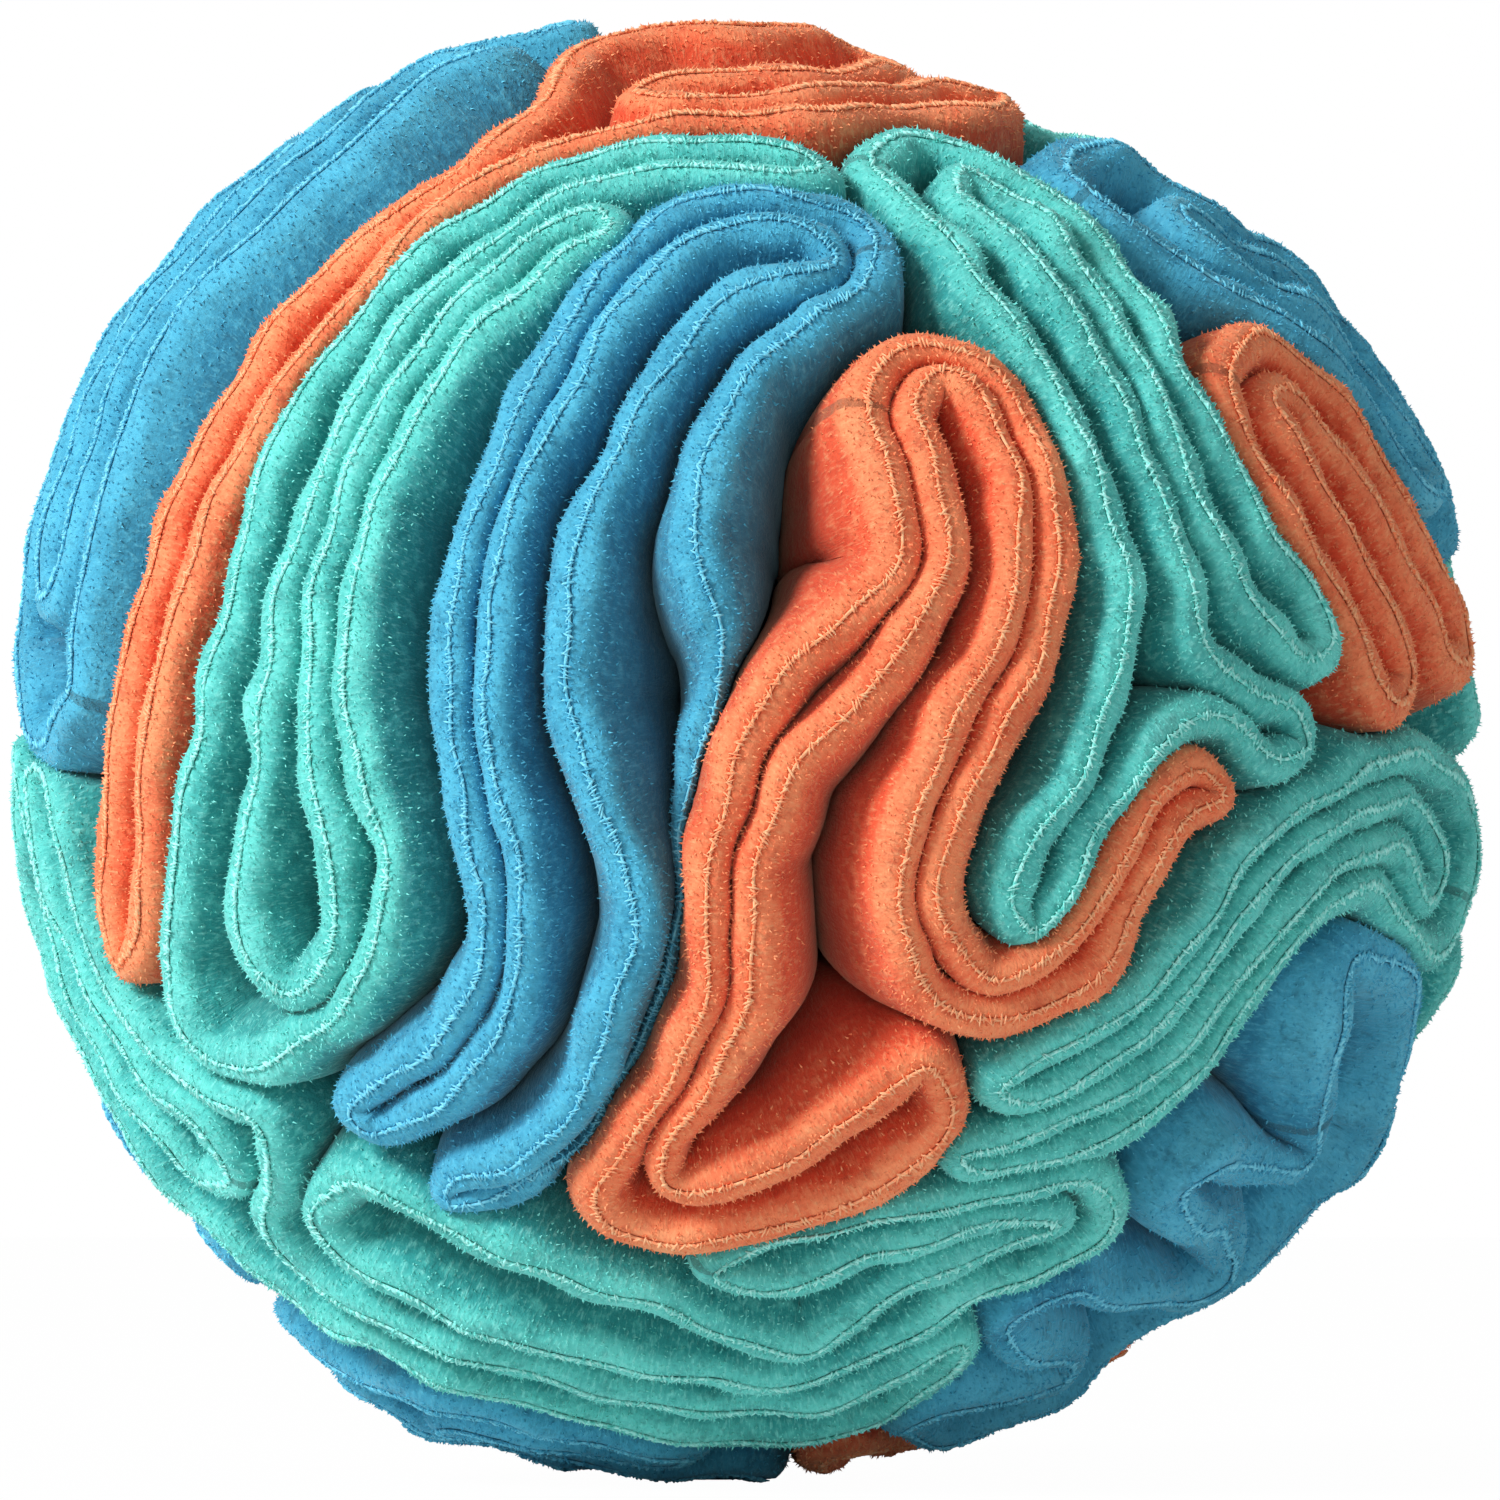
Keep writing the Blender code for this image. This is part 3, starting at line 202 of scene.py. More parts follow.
# %% The folded rims of the other sides
FOLLOWED_RIMS = [
    ("teal_left", TEAL_LEFT_SHARES), ("blue_centre", BLUE_CENTRE_SHARES),
    ("orange_centre", ORANGE_CENTRE_SHARES), ("teal_upper_right", TEAL_UPPER_RIGHT_SHARES),
    ("orange_top_left", ORANGE_TOP_LEFT_SHARES), ("teal_bottom", TEAL_BOTTOM_SHARES),
    ("teal_lower_left", TEAL_LOWER_LEFT_SHARES), ("teal_lower_right", TEAL_LOWER_RIGHT_SHARES),
    ("orange_right", ORANGE_RIGHT_SHARES), ("blue_lower_right", BLUE_LOWER_RIGHT_SHARES),
]
NARROW, MIDDLE, WIDE, WIDEST = 0.075, 0.085, 0.095, 0.105
FOLDED_RIMS = [
    ("blue_top_left", "front", 4, WIDE,
     [(-0.955, 0.03), (-0.933, 0.275), (-0.86, 0.51), (-0.793, 0.627), (-0.673, 0.748),
      (-0.572, 0.836), (-0.495, 0.901), (-0.40, 0.949), (-0.33, 0.96)]),
    ("blue_top_right", "front", 4, MIDDLE,
     [(0.44, 0.80), (0.58, 0.71), (0.785, 0.575), (0.925, 0.365)]),
    ("blue_bottom", "bottom", 6, NARROW, [(0.49, -0.13), (0.25, -0.10), (-0.01, -0.09)]),
    ("orange_bottom", "bottom", 4, NARROW,
     [(-0.18, -0.14), (-0.24, 0.07), (-0.08, 0.32), (0.30, 0.345)]),
    ("teal_top", "top", 6, MIDDLE, [(-0.23, 0.31), (0.06, 0.27), (0.52, 0.18)]),
    ("blue_back_top", "back", 6, MIDDLE, [(0.40, 0.66), (0.0, 0.73), (-0.42, 0.68)]),
    ("teal_back", "back", 6, WIDE, [(0.30, 0.43), (0.33, 0.0), (0.28, -0.45)]),
    ("orange_back", "back", 6, WIDE, [(-0.30, 0.46), (-0.31, 0.0), (-0.31, -0.43)]),
    ("blue_back_bottom", "back", 6, MIDDLE, [(0.37, -0.68), (0.0, -0.71), (-0.40, -0.66)]),
    ("orange_side_high", "left", 8, WIDEST, [(-0.66, 0.37), (-0.09, 0.41)]),
    ("blue_side_low", "left", 8, WIDEST, [(-0.66, -0.38), (-0.35, -0.44), (-0.05, -0.41)]),
    ("teal_side_high", "right", 8, WIDEST, [(0.66, 0.38), (0.28, 0.38), (-0.01, 0.44)]),
    ("teal_side_low", "right", 8, WIDEST, [(0.67, -0.38), (0.28, -0.40), (-0.05, -0.43)]),
]
FOLD_POINT_SHARE, FOLD_WAVE_SHARE, FOLD_WAVELENGTH_SHARE = 0.05, 0.010, 0.42
ROUNDING_SHARE, INNER_START_PITCHES, HOME_BULGE_SHARE = 0.05, 1.1, 0.02
FACINGS = {
    "front": ((1, 0, 0), (0, -1, 0), (0, 0, 1)), "back": ((-1, 0, 0), (0, 1, 0), (0, 0, 1)),
    "left": ((0, -1, 0), (-1, 0, 0), (0, 0, 1)), "right": ((0, 1, 0), (1, 0, 0), (0, 0, 1)),
    "top": ((1, 0, 0), (0, 0, 1), (0, 1, 0)), "bottom": ((-1, 0, 0), (0, 0, -1), (0, 1, 0)),
}
print(len(FOLLOWED_RIMS), "followed rims and", len(FOLDED_RIMS), "folded ones")

# %% [markdown]
# ## From shares to directions
# A place on the picture becomes a direction from the ball's middle. The
# silhouette is lumpy, so the ball's radius follows it near the edge.

# %% The ball's lumpy surface
def unit(vectors):
    return vectors / np.linalg.norm(vectors, axis=-1, keepdims=True)


def silhouette_share(directions):
    outline = np.array(SILHOUETTE_SHARES)
    angles = np.arctan2(outline[:, 1], outline[:, 0])
    order = np.argsort(angles)
    turn = np.arctan2(directions[:, 2], directions[:, 0])
    return np.interp(turn, angles[order], np.hypot(*outline[order].T), period=math.tau)


def lumps(directions, edge):
    """How far the silhouette pushes the surface out, the more the nearer the picture's edge."""
    return 1 + (silhouette_share(directions) - 1) * edge ** 3


def ball_radius(directions):
    return BALL_RADIUS * lumps(directions, np.hypot(directions[:, 0], directions[:, 2]))


def direction_of(shares, facing="front"):
    right, towards, up = (np.array(axis, float) for axis in FACINGS[facing])
    sideways, upwards = shares[:2]
    if facing == "front":
        seen = sideways * right + upwards * up
        lump = lumps(seen[None], math.hypot(sideways, upwards))[0]
        sideways, upwards = sideways / lump, upwards / lump
    inward = max(0, 1 - sideways ** 2 - upwards ** 2)
    return unit(sideways * right + upwards * up + math.sqrt(inward) * towards)


# %% [markdown]
# The rim's points are joined by a centripetal Catmull-Rom curve, which goes
# through each of them and never loops between two that are close.

# %% A smooth curve with evenly spaced points
CURVE_STEPS = 12


def smooth_stretch(before, start, end, after):
    knots = [0]
    for here, there in ((before, start), (start, end), (end, after)):
        knots.append(knots[-1] + math.sqrt(max(np.linalg.norm(there - here), 1e-6)))
    k0, k1, k2, k3 = knots
    times = np.linspace(k1, k2, CURVE_STEPS, endpoint=False)[:, None]
    a1 = ((k1 - times) * before + (times - k0) * start) / (k1 - k0)
    a2 = ((k2 - times) * start + (times - k1) * end) / (k2 - k1)
    a3 = ((k3 - times) * end + (times - k2) * after) / (k3 - k2)
    b1 = ((k2 - times) * a1 + (times - k0) * a2) / (k2 - k0)
    b2 = ((k3 - times) * a2 + (times - k1) * a3) / (k3 - k1)
    return ((k2 - times) * b1 + (times - k1) * b2) / (k2 - k1)


def smooth_curve(points, closed):
    points = np.array(points, float)
    if closed:
        points = np.vstack([points[-1:], points, points[:2]])
    else:
        points = np.vstack([2 * points[0] - points[1], points, 2 * points[-1] - points[-2]])
    stretches = [smooth_stretch(*points[i:i + 4]) for i in range(len(points) - 3)]
    return np.vstack(stretches if closed else stretches + [points[-2:-1]])


def at_places(wanted, along, line):
    """The rows of a line at the wanted places along it."""
    return np.stack([np.interp(wanted, along, values) for values in line.T], axis=1)


def even_points(curve, step, closed):
    line = np.vstack([curve, curve[:1]]) if closed else curve
    along = np.concatenate([[0], np.cumsum(np.linalg.norm(np.diff(line[:, :3], axis=0), axis=1))])
    count = max(4, round(along[-1] / step))
    places = np.linspace(0, along[-1], count + (not closed), endpoint=not closed)
    points = at_places(places, along, line)
    points[:, :3] = unit(points[:, :3])
    return points


# %% Points of a folded rim
def folded_points(line_shares, facing, strands, pitch_share):
    line = smooth_curve([direction_of(place, facing) for place in line_shares], closed=False)
    line = even_points(line, FOLD_POINT_SHARE, closed=False)
    sideways = unit(np.cross(line, np.gradient(line, axis=0)))
    places = FOLD_POINT_SHARE * np.arange(len(line))[:, None]
    middle = (strands - 1) / 2
    points = []
    for strand in range(strands):
        phase = math.tau * places / FOLD_WAVELENGTH_SHARE + strand / 2
        offset = (strand - middle) * pitch_share + FOLD_WAVE_SHARE * np.sin(phase)
        beside = unit(line + offset * sideways)
        start = ROUNDING_SHARE * (abs(strand - middle) / middle) ** 2
        start += 0 if strand in (0, strands - 1) else INNER_START_PITCHES * pitch_share
        end = ROUNDING_SHARE * (abs(2 * (strand // 2) + 0.5 - middle) / middle) ** 2
        run = beside[round(start / FOLD_POINT_SHARE):len(line) - round(end / FOLD_POINT_SHARE)]
        points.append(run if strand % 2 == 0 else run[::-1])
    bulge = HOME_BULGE_SHARE / FOLD_POINT_SHARE
    points.append(unit(line[:1] - bulge * (line[1:2] - line[:1])))
    return np.vstack(points)


def followed_points(rim_shares):
    sunk = [place[2] if len(place) > 2 else 0 for place in rim_shares]
    return np.array([(*direction_of(place), depth) for place, depth in zip(rim_shares, sunk)])


# %% [markdown]
# ## Swirls and crowding
# Real folds are never straight. First each folded rim is swirled: turned about
# a few axes, most at the axis and less away from it. Then the rims behind grow
# and push each other, as cloth does that is stuffed into too little room. Each
# round moves every point a little: away from points of other strands that are
# near, along the line so that it lengthens, and back where it bends sharply.
# The rims that are followed from the picture stay where they are.

# %% Swirl the folds
# Each swirl: its axis, the turn there in whole turns, and its reach in radii
SWIRL_SHARES = [
    ((0.05, 1.0, 0.05), 0.15, 0.46),
    ((-0.80, 0.60, -0.03), -0.13, 0.30),
    ((0.80, 0.60, 0.02), 0.13, 0.30),
    ((-0.50, 0.62, 0.60), 0.11, 0.27),
    ((0.50, 0.62, 0.60), -0.11, 0.27),
    ((0.48, 0.62, -0.62), 0.11, 0.27),
    ((-0.48, 0.62, -0.62), -0.11, 0.27),
    ((0.05, 0.40, 0.92), -0.09, 0.24),
]


def swirled(directions):
    """The directions turned about each swirl's axis, less and less away from it."""
    for place, turn_share, reach_share in SWIRL_SHARES:
        axis = unit(np.array(place))
        along = (directions * axis).sum(axis=1)
        apart = np.arccos(np.clip(along, -1, 1))
        angle = (math.tau * turn_share * np.exp(-(apart / reach_share) ** 2))[:, None]
        lifted = axis * (along[:, None] * (1 - np.cos(angle)))
        aside = np.cross(axis, directions) * np.sin(angle)
        directions = directions * np.cos(angle) + aside + lifted
    return unit(directions)


# %% Let them grow and crowd
CROWD_ROUNDS = 224
CROWD_LISTED_ROUNDS = 8
CROWD_NODE_SHARE = 0.04
CROWD_REACH_SHARE = 0.104
CROWD_LISTED_SHARE = 0.156
CROWD_PUSH_SHARE = 0.012
CROWD_SPRING_SHARE = 0.40
CROWD_BEND_SHARE = 0.22
CROWD_MOVE_SHARE = 0.006
GROWTH_SHARE = 0.22
FULL_RIM_SHARE = 6.3
PINNED_SHARE = -0.25
LOOSE_SHARE = 0.05
TINY_SHARE = 1e-6


def before(line, steps=1):
    return np.roll(line, steps, axis=0)


def after(line, steps=1):
    return np.roll(line, -steps, axis=0)


def close_pairs(lines, fixed):
    """Pairs of a free rim's node and a node near it that isn't close to it along the same rim."""
    nodes = np.vstack(lines)
    counts = np.array([len(line) for line in lines])
    owners = np.concatenate([np.repeat(np.arange(len(lines)), counts), np.full(len(fixed), -1)])
    free, other = np.nonzero(nodes @ np.vstack([nodes, fixed]).T > 1 - CROWD_LISTED_SHARE ** 2 / 2)
    along = np.abs(free - other)
    along = np.minimum(along, counts[owners[free]] - along)
    kept = (owners[free] != owners[other]) | (along * CROWD_NODE_SHARE > CROWD_LISTED_SHARE)
    return free[kept], other[kept]


def crowded(line, pushed):
    """A rim's line after one small move: pushed by what is near, lengthened and kept smooth."""
    ahead = after(line) - line
    steps = np.linalg.norm(ahead, axis=1, keepdims=True)
    wanted = min(steps.sum() * (1 + GROWTH_SHARE), FULL_RIM_SHARE) / len(line)
    pull = CROWD_SPRING_SHARE * (1 - wanted / steps) * ahead
    bend = (before(line) + after(line)) / 2 - line
    bend -= (before(bend) + after(bend)) / 2
    move = pushed + pull - before(pull) + CROWD_BEND_SHARE * bend
    length = np.linalg.norm(move, axis=1, keepdims=True)
    move *= np.minimum(1, CROWD_MOVE_SHARE / np.maximum(length, TINY_SHARE))
    loose = np.clip((line[:, 1:2] - PINNED_SHARE) / (LOOSE_SHARE - PINNED_SHARE), 0, 1)
    return unit(line + loose * move)


def crowd(lines, fixed):
    """Lets the free rims lengthen and push each other until they fill the room that is left."""
    for done in range(CROWD_ROUNDS):
        if done % CROWD_LISTED_ROUNDS == 0:
            lines = [even_points(line, CROWD_NODE_SHARE, closed=True) for line in lines]
            free, other = close_pairs(lines, fixed)
        nodes = np.vstack(lines)
        gaps = nodes[free] - np.vstack([nodes, fixed])[other]
        apart = np.maximum(np.linalg.norm(gaps, axis=1, keepdims=True), TINY_SHARE)
        pushes = CROWD_PUSH_SHARE * np.maximum(0, 1 - apart / CROWD_REACH_SHARE) * gaps / apart
        pushed = np.stack([np.bincount(free, pushes[:, k], len(nodes)) for k in range(3)], axis=1)
        ends = np.cumsum([len(line) for line in lines])
        lines = [crowded(line, own) for line, own in zip(lines, np.split(pushed, ends[:-1]))]
    return lines


followed = [followed_points(rim_shares) for _, rim_shares in FOLLOWED_RIMS]
curves = [smooth_curve(points, closed=True) for points in followed]
fixed = [even_points(curve, CROWD_NODE_SHARE, closed=True) for curve in curves]
folded = [folded_points(line_shares, facing, strands, pitch_share)
          for _, facing, strands, pitch_share, line_shares in FOLDED_RIMS]
folded = [swirled(smooth_curve(points, closed=True)) for points in folded]
folded = crowd(folded, np.vstack(fixed)[:, :3])
folded = [np.hstack([line, np.zeros((len(line), 1))]) for line in folded]
print("points of the crowded rims:", [len(line) for line in folded])

# %% [markdown]
# ## The rims as lines of fine samples
# A mesh needs more samples where a rim turns sharply than where it runs
# straight. Each rim is first laid out evenly, and then sampled again so that
# neither the distance nor the turn between two samples is large.

# %% Sample the rims
FINE_STEP = 0.4 * MM
SAMPLE_STEP = 1.0 * MM
SAMPLE_TURN = math.radians(13)
SMOOTH_STEPS = 3
WAVE_HEIGHT = 0.9 * MM
WAVE_LENGTHS = (13 * MM, 21 * MM, 34 * MM)
WAVE_SHIFT = 1.7
WANDER_WIDTH = 0.55 * MM
WANDER_LENGTHS = (11 * MM, 17 * MM, 27 * MM)
WANDER_SEED = 0.5
SUNK_RIMS = {"teal_top": 2.0 * MM, "teal_side_high": 1.8 * MM, "teal_side_low": 1.8 * MM,
             "orange_side_high": 1.8 * MM, "blue_side_low": 1.0 * MM, "orange_bottom": 1.0 * MM}


def wave_along(count, length, wavelengths, seed):
    """An uneven wave from -1 to 1 at each of count places along a closed rim."""
    places = np.linspace(0, math.tau, count, endpoint=False)
    waves = [np.sin(max(1, round(length / wavelength)) * places + seed * (k + WAVE_SHIFT))
             for k, wavelength in enumerate(wavelengths)]
    return sum(waves) / len(waves)


def closed_length(line):
    return BALL_RADIUS * np.linalg.norm(after(line) - line, axis=1).sum()


def across_route(route):
    """At each place of a closed route, the direction across it that lies in the ball's surface."""
    places = route[:, :3]
    return unit(np.cross(places, after(places, SMOOTH_STEPS) - before(places, SMOOTH_STEPS)))


def colour_of(name):
    return name.split("_")[0]


class Rim:
    """A disc's rim: its fine route, and the direction, height and side direction of each sample."""

    def __init__(self, name, points, number):
        self.name, self.number = name, number
        self.colour = colour_of(name)
        route = even_points(smooth_curve(points, closed=True), FINE_STEP / BALL_RADIUS, closed=True)
        wander = wave_along(len(route), closed_length(route), WANDER_LENGTHS, number + WANDER_SEED)
        wander *= WANDER_WIDTH / BALL_RADIUS
        route[:, :3] = unit(route[:, :3] + wander[:, None] * across_route(route))
        turned = np.cross(route[:, :3], after(route[:, :3])).sum(axis=0)
        if turned @ route[:, :3].sum(axis=0) < 0:
            route = route[::-1]
        self.fine, self.fine_sunk = route[:, :3], route[:, 3]
        self.length = closed_length(self.fine)
        self.sample(route)
        waves = WAVE_HEIGHT * (self.wave(WAVE_LENGTHS, number) - 1) / 2
        self.heights = (ball_radius(self.directions) - BALL_RADIUS * self.sunk
                        - SUNK_RIMS.get(name, 0) + waves)

    def wave(self, wavelengths, seed):
        return wave_along(len(self.directions), self.length, wavelengths, seed)

    def sample(self, route):
        """Picks the samples from the route, closer together where it turns."""
        sides = across_route(route)
        turn = np.arccos(np.clip((sides * after(sides)).sum(axis=1), -1, 1))
        shifts = range(-SMOOTH_STEPS, SMOOTH_STEPS + 1)
        turn = np.mean([before(turn, shift) for shift in shifts], axis=0)
        weight = np.maximum(FINE_STEP / SAMPLE_STEP, turn / SAMPLE_TURN)
        total = np.concatenate([[0], np.cumsum(weight)])
        wanted = np.linspace(0, total[-1], round(total[-1]), endpoint=False)
        line = np.hstack([route, sides])
        line = np.vstack([line, line[:1]])
        picked = at_places(wanted, total, line)
        self.directions, self.sunk, aside = unit(picked[:, :3]), picked[:, 3], picked[:, 4:]
        for _ in range(SMOOTH_STEPS):
            aside = (before(aside) + aside + after(aside)) / 3
        self.sides = unit(aside)


names = [name for name, *_ in FOLLOWED_RIMS + FOLDED_RIMS]
rims = [Rim(name, points, n) for n, (name, points) in enumerate(zip(names, followed + folded))]
print(f"{len(rims)} rims, {sum(rim.length for rim in rims):.2f} m in all,",
      sum(len(rim.directions) for rim in rims), "samples")

# %% [markdown]
# ## How much room each rim has beside it
# Between two strands the cloth of both dives into the ball, and they meet on
# the middle line between them. From a sample, that line is as far as one can
# go sideways while the sample itself is still the nearest point of any rim.
# Halving the distance again and again finds it. The line moves towards a strand
# that is sunk, and towards one whose fold is narrower than its neighbour's.

# %% Measure the room on both sides
WIDEST_ROOM = 16.0 * MM
HALVINGS = 8
GIVE_WAY_SHARE = 0.5
MOST_SHIFT_SHARE = 0.6
WIDE_FOLDS = {"blue_top_left": 0.55, "blue_lower_right": 0.2, "orange_centre": 0.1}
ROOM_SMOOTHINGS, ROOM_EASE = 5, 0.1 * MM


def on_ball(place):
    return unit(place) * BALL_RADIUS


def free_reach(tree, place, across):
    """How far one can go sideways while the place itself is the nearest point of any rim."""
    low, high = 0.0, WIDEST_ROOM
    for _ in range(HALVINGS):
        tried = (low + high) / 2
        free = tree.find(on_ball(place + tried * across))[2] > tried - FINE_STEP
        low, high = (tried, high) if free else (low, tried)
    return low


def measure_rooms():
    fine_sunk = np.concatenate([rim.fine_sunk for rim in rims]) * BALL_RADIUS
    width = np.concatenate([np.full(len(rim.fine), WIDE_FOLDS.get(rim.name, 0.0)) for rim in rims])
    tree = KDTree(len(fine_sunk))
    for number, place in enumerate(np.vstack([rim.fine for rim in rims]) * BALL_RADIUS):
        tree.insert(place, number)
    tree.balance()
    for rim in rims:
        rim.rooms = {}
        for side in (1, -1):
            room = np.zeros(len(rim.directions))
            for i, (direction, across) in enumerate(zip(rim.directions, side * rim.sides)):
                place = direction * BALL_RADIUS
                reach = free_reach(tree, place, across)
                beyond = tree.find(on_ball(place + 2 * reach * across))[1]
                shift = GIVE_WAY_SHARE * (fine_sunk[beyond] - rim.sunk[i] * BALL_RADIUS)
                shift += reach * (WIDE_FOLDS.get(rim.name, 0.0) - width[beyond])
                most = MOST_SHIFT_SHARE * reach
                room[i] = reach + np.clip(shift, -most, most)
            for _ in range(ROOM_SMOOTHINGS):
                room = np.minimum(room, (before(room) + room + after(room)) / 3 + ROOM_EASE)
            rim.rooms[side] = room


measure_rooms()
all_rooms = np.concatenate([rim.rooms[side] for rim in rims for side in (1, -1)])
print("room beside a rim: median", round(float(np.median(all_rooms)) / MM, 2), "mm")

# %% [markdown]
# ## The section of one plush circle
# Cut across, a circle's edge is a seam groove, a rounded lip and a flank that
# slopes to the middle line between two strands. Where there is more room the
# flank is longer and deeper: these are the pockets that hide the treats. From
# there the cloth runs down to the core and back up along its twin.

# %% Section shares and sizes
LIP_WIDTH = 2.6 * MM
LIP_GROWTH = 0.12
CREASE_GAP = 0.12 * MM
SEAM_HALF_GAP = 0.12 * MM
CREASE_DEPTH = 4.6 * MM
CREASE_SLOPE = 2.7
DEEPEST_POCKET = 20 * MM
LIP_VARIATION, LEAN_SLOPE, LIP_WAVE_LENGTHS = 0.22, 0.22, (11 * MM, 19 * MM, 41 * MM)
LIP_SEED, LEAN_SEED = 3.1, 5.3
ROOT_HEIGHT = 18.3 * MM
LEAST_ROOM, MIDDLE_ROOM_SHARE = 0.5 * MM, 0.6
LIP_SECTION = [(0.04, 0.07), (0.10, 0.02), (0.22, 0.0), (0.38, 0.02), (0.58, 0.10), (0.78, 0.28),
               (0.92, 0.52), (1.0, 0.80)]
FLANK_SECTION = [(0.26, 0.15), (0.50, 0.33), (0.71, 0.53), (0.88, 0.75), (1.0, 1.0)]


def section_rings(rim, side):
    """Places of each ring: angle sideways, height from the centre and depth below the surface."""
    room = np.maximum(rim.rooms[side] - CREASE_GAP, LEAST_ROOM)
    full = 1 + LIP_VARIATION * rim.wave(LIP_WAVE_LENGTHS, LIP_SEED * rim.number + side)
    lip = np.minimum(LIP_WIDTH * full + LIP_GROWTH * np.maximum(room - LIP_WIDTH, 0), room)
    lean = side * LEAN_SLOPE * rim.wave(LIP_WAVE_LENGTHS, LEAN_SEED * rim.number)
    lip_drop = LIP_SECTION[-1][1] * LIP_WIDTH + lean * lip
    pocket = CREASE_SLOPE * np.maximum(room - lip, 0) / DEEPEST_POCKET
    crease = CREASE_DEPTH + DEEPEST_POCKET * np.tanh(pocket)
    rings = []
    for across, down in LIP_SECTION:
        rings.append((np.maximum(across * lip, SEAM_HALF_GAP) / BALL_RADIUS,
                      down * LIP_WIDTH + lean * across * lip))
    for across, down in FLANK_SECTION:
        rings.append(((lip + across * (room - lip)) / BALL_RADIUS,
                      lip_drop + down * (crease - lip_drop)))
    middle_depth = (rim.heights + ROOT_HEIGHT) / 2
    rings.append((MIDDLE_ROOM_SHARE * room / BALL_RADIUS, rim.heights - middle_depth))
    rings.append((SEAM_HALF_GAP / ROOT_HEIGHT + 0 * room, rim.heights - ROOT_HEIGHT))
    rings.append((SEAM_HALF_GAP / middle_depth, rim.heights - middle_depth))
    return rings


# %% [markdown]
# A circle is a grid of points, rings across and samples along, closed both
# ways. Three attributes are kept for the finish: `deep`, how far a point lies
# below the surface in millimetres, which the finish turns into painted shade.
# It is eased on the named open folds. It is made less where crumpling moved the
# cloth out, more where it moved it in, and less again on folds with a named
# lift, so that below nought it gives a painted highlight. `pile` is 1 where the
# plush stands free, and `nap` is the place along and across the cloth, along
# which the pile is brushed.
# Slack cloth crumples, so a slow noise moves every place a little, and more in
# the folds that are named. The noise is taken at three fixed shifts: the ready
# noise vector of mathutils draws its shifts from the clock, and each run would
# differ.

# %% Make a circle's cloth
CRUMPLE_SCALE, CRUMPLE_DEPTH = 95.0, 16 * MM
EVERY_CRUMPLE = 0.5 * MM
CRUMPLE_SHIFTS = [Vector((3.7, 8.2, 1.9)), Vector((21.3, 5.6, 14.8)), Vector((9.4, 31.1, 27.5))]
CRUMPLED = {"blue_lower_right": 2.2 * MM, "blue_top_right": 1.2 * MM, "blue_bottom": 1.0 * MM}
# Depths within which the painted shade is eased, for folds that stand open
OPEN_DEPTHS = {"blue_lower_right": 14 * MM, "blue_top_left": 9 * MM, "blue_top_right": 9 * MM}
NEARLY_SHUT = 0.1 * MM
# Painted light: millimetres of depth taken off these folds, so that they are painted lighter
PAINTED_LIGHT_LIFT = {"blue_lower_right": 1.0, "blue_bottom": 0.4}
# Painted highlight and shade from crumpling: depth taken off per millimetre moved out, added per
# millimetre moved in
CRUMPLE_LIGHT = 2.5
PILE_DEPTH, SEAM_PILE, FLOOR_PILE_HEIGHT = 9 * MM, 0.3, 2 * MM
BARE_RINGS = 3
NAP_SHIFT = 0.1


def add_object(name, data):
    made = bpy.data.objects.new(name, data)
    bpy.context.scene.collection.objects.link(made)
    return made


def grid_mesh(name, grid, flip):
    """A mesh from points in rows and columns, closed both ways."""
    rows, columns = grid.shape[:2]
    index = np.arange(rows * columns).reshape(rows, columns)
    down, right = np.roll(index, -1, axis=0), np.roll(index, -1, axis=1)
    corner = np.roll(down, -1, axis=1)
    quads = np.stack([index, right, corner, down], axis=-1).reshape(-1, 4)
    mesh = bpy.data.meshes.new(name)
    mesh.from_pydata(grid.reshape(-1, 3).tolist(), [], (quads[:, ::-1] if flip else quads).tolist())
    mesh.shade_smooth()
    return mesh


def add_attribute(mesh, name, values, kind="FLOAT"):
    attribute = mesh.attributes.new(name, kind, "POINT")
    field = "value" if kind == "FLOAT" else "vector"
    attribute.data.foreach_set(field, np.asarray(values, np.float32).ravel())


def crumple(places, rim, shares):
    """Moves a rim's places by a slow noise, each by its share. Tells how far out each went."""
    most = CRUMPLED.get(rim.name, EVERY_CRUMPLE)
    slow = [[clouds.noise(Vector(place) + shift) for shift in CRUMPLE_SHIFTS]
            for place in places * CRUMPLE_SCALE]
    moves = most * shares[:, None] * np.array(slow)
    places += moves
    return (moves * unit(places - CENTRE)).sum(axis=1)


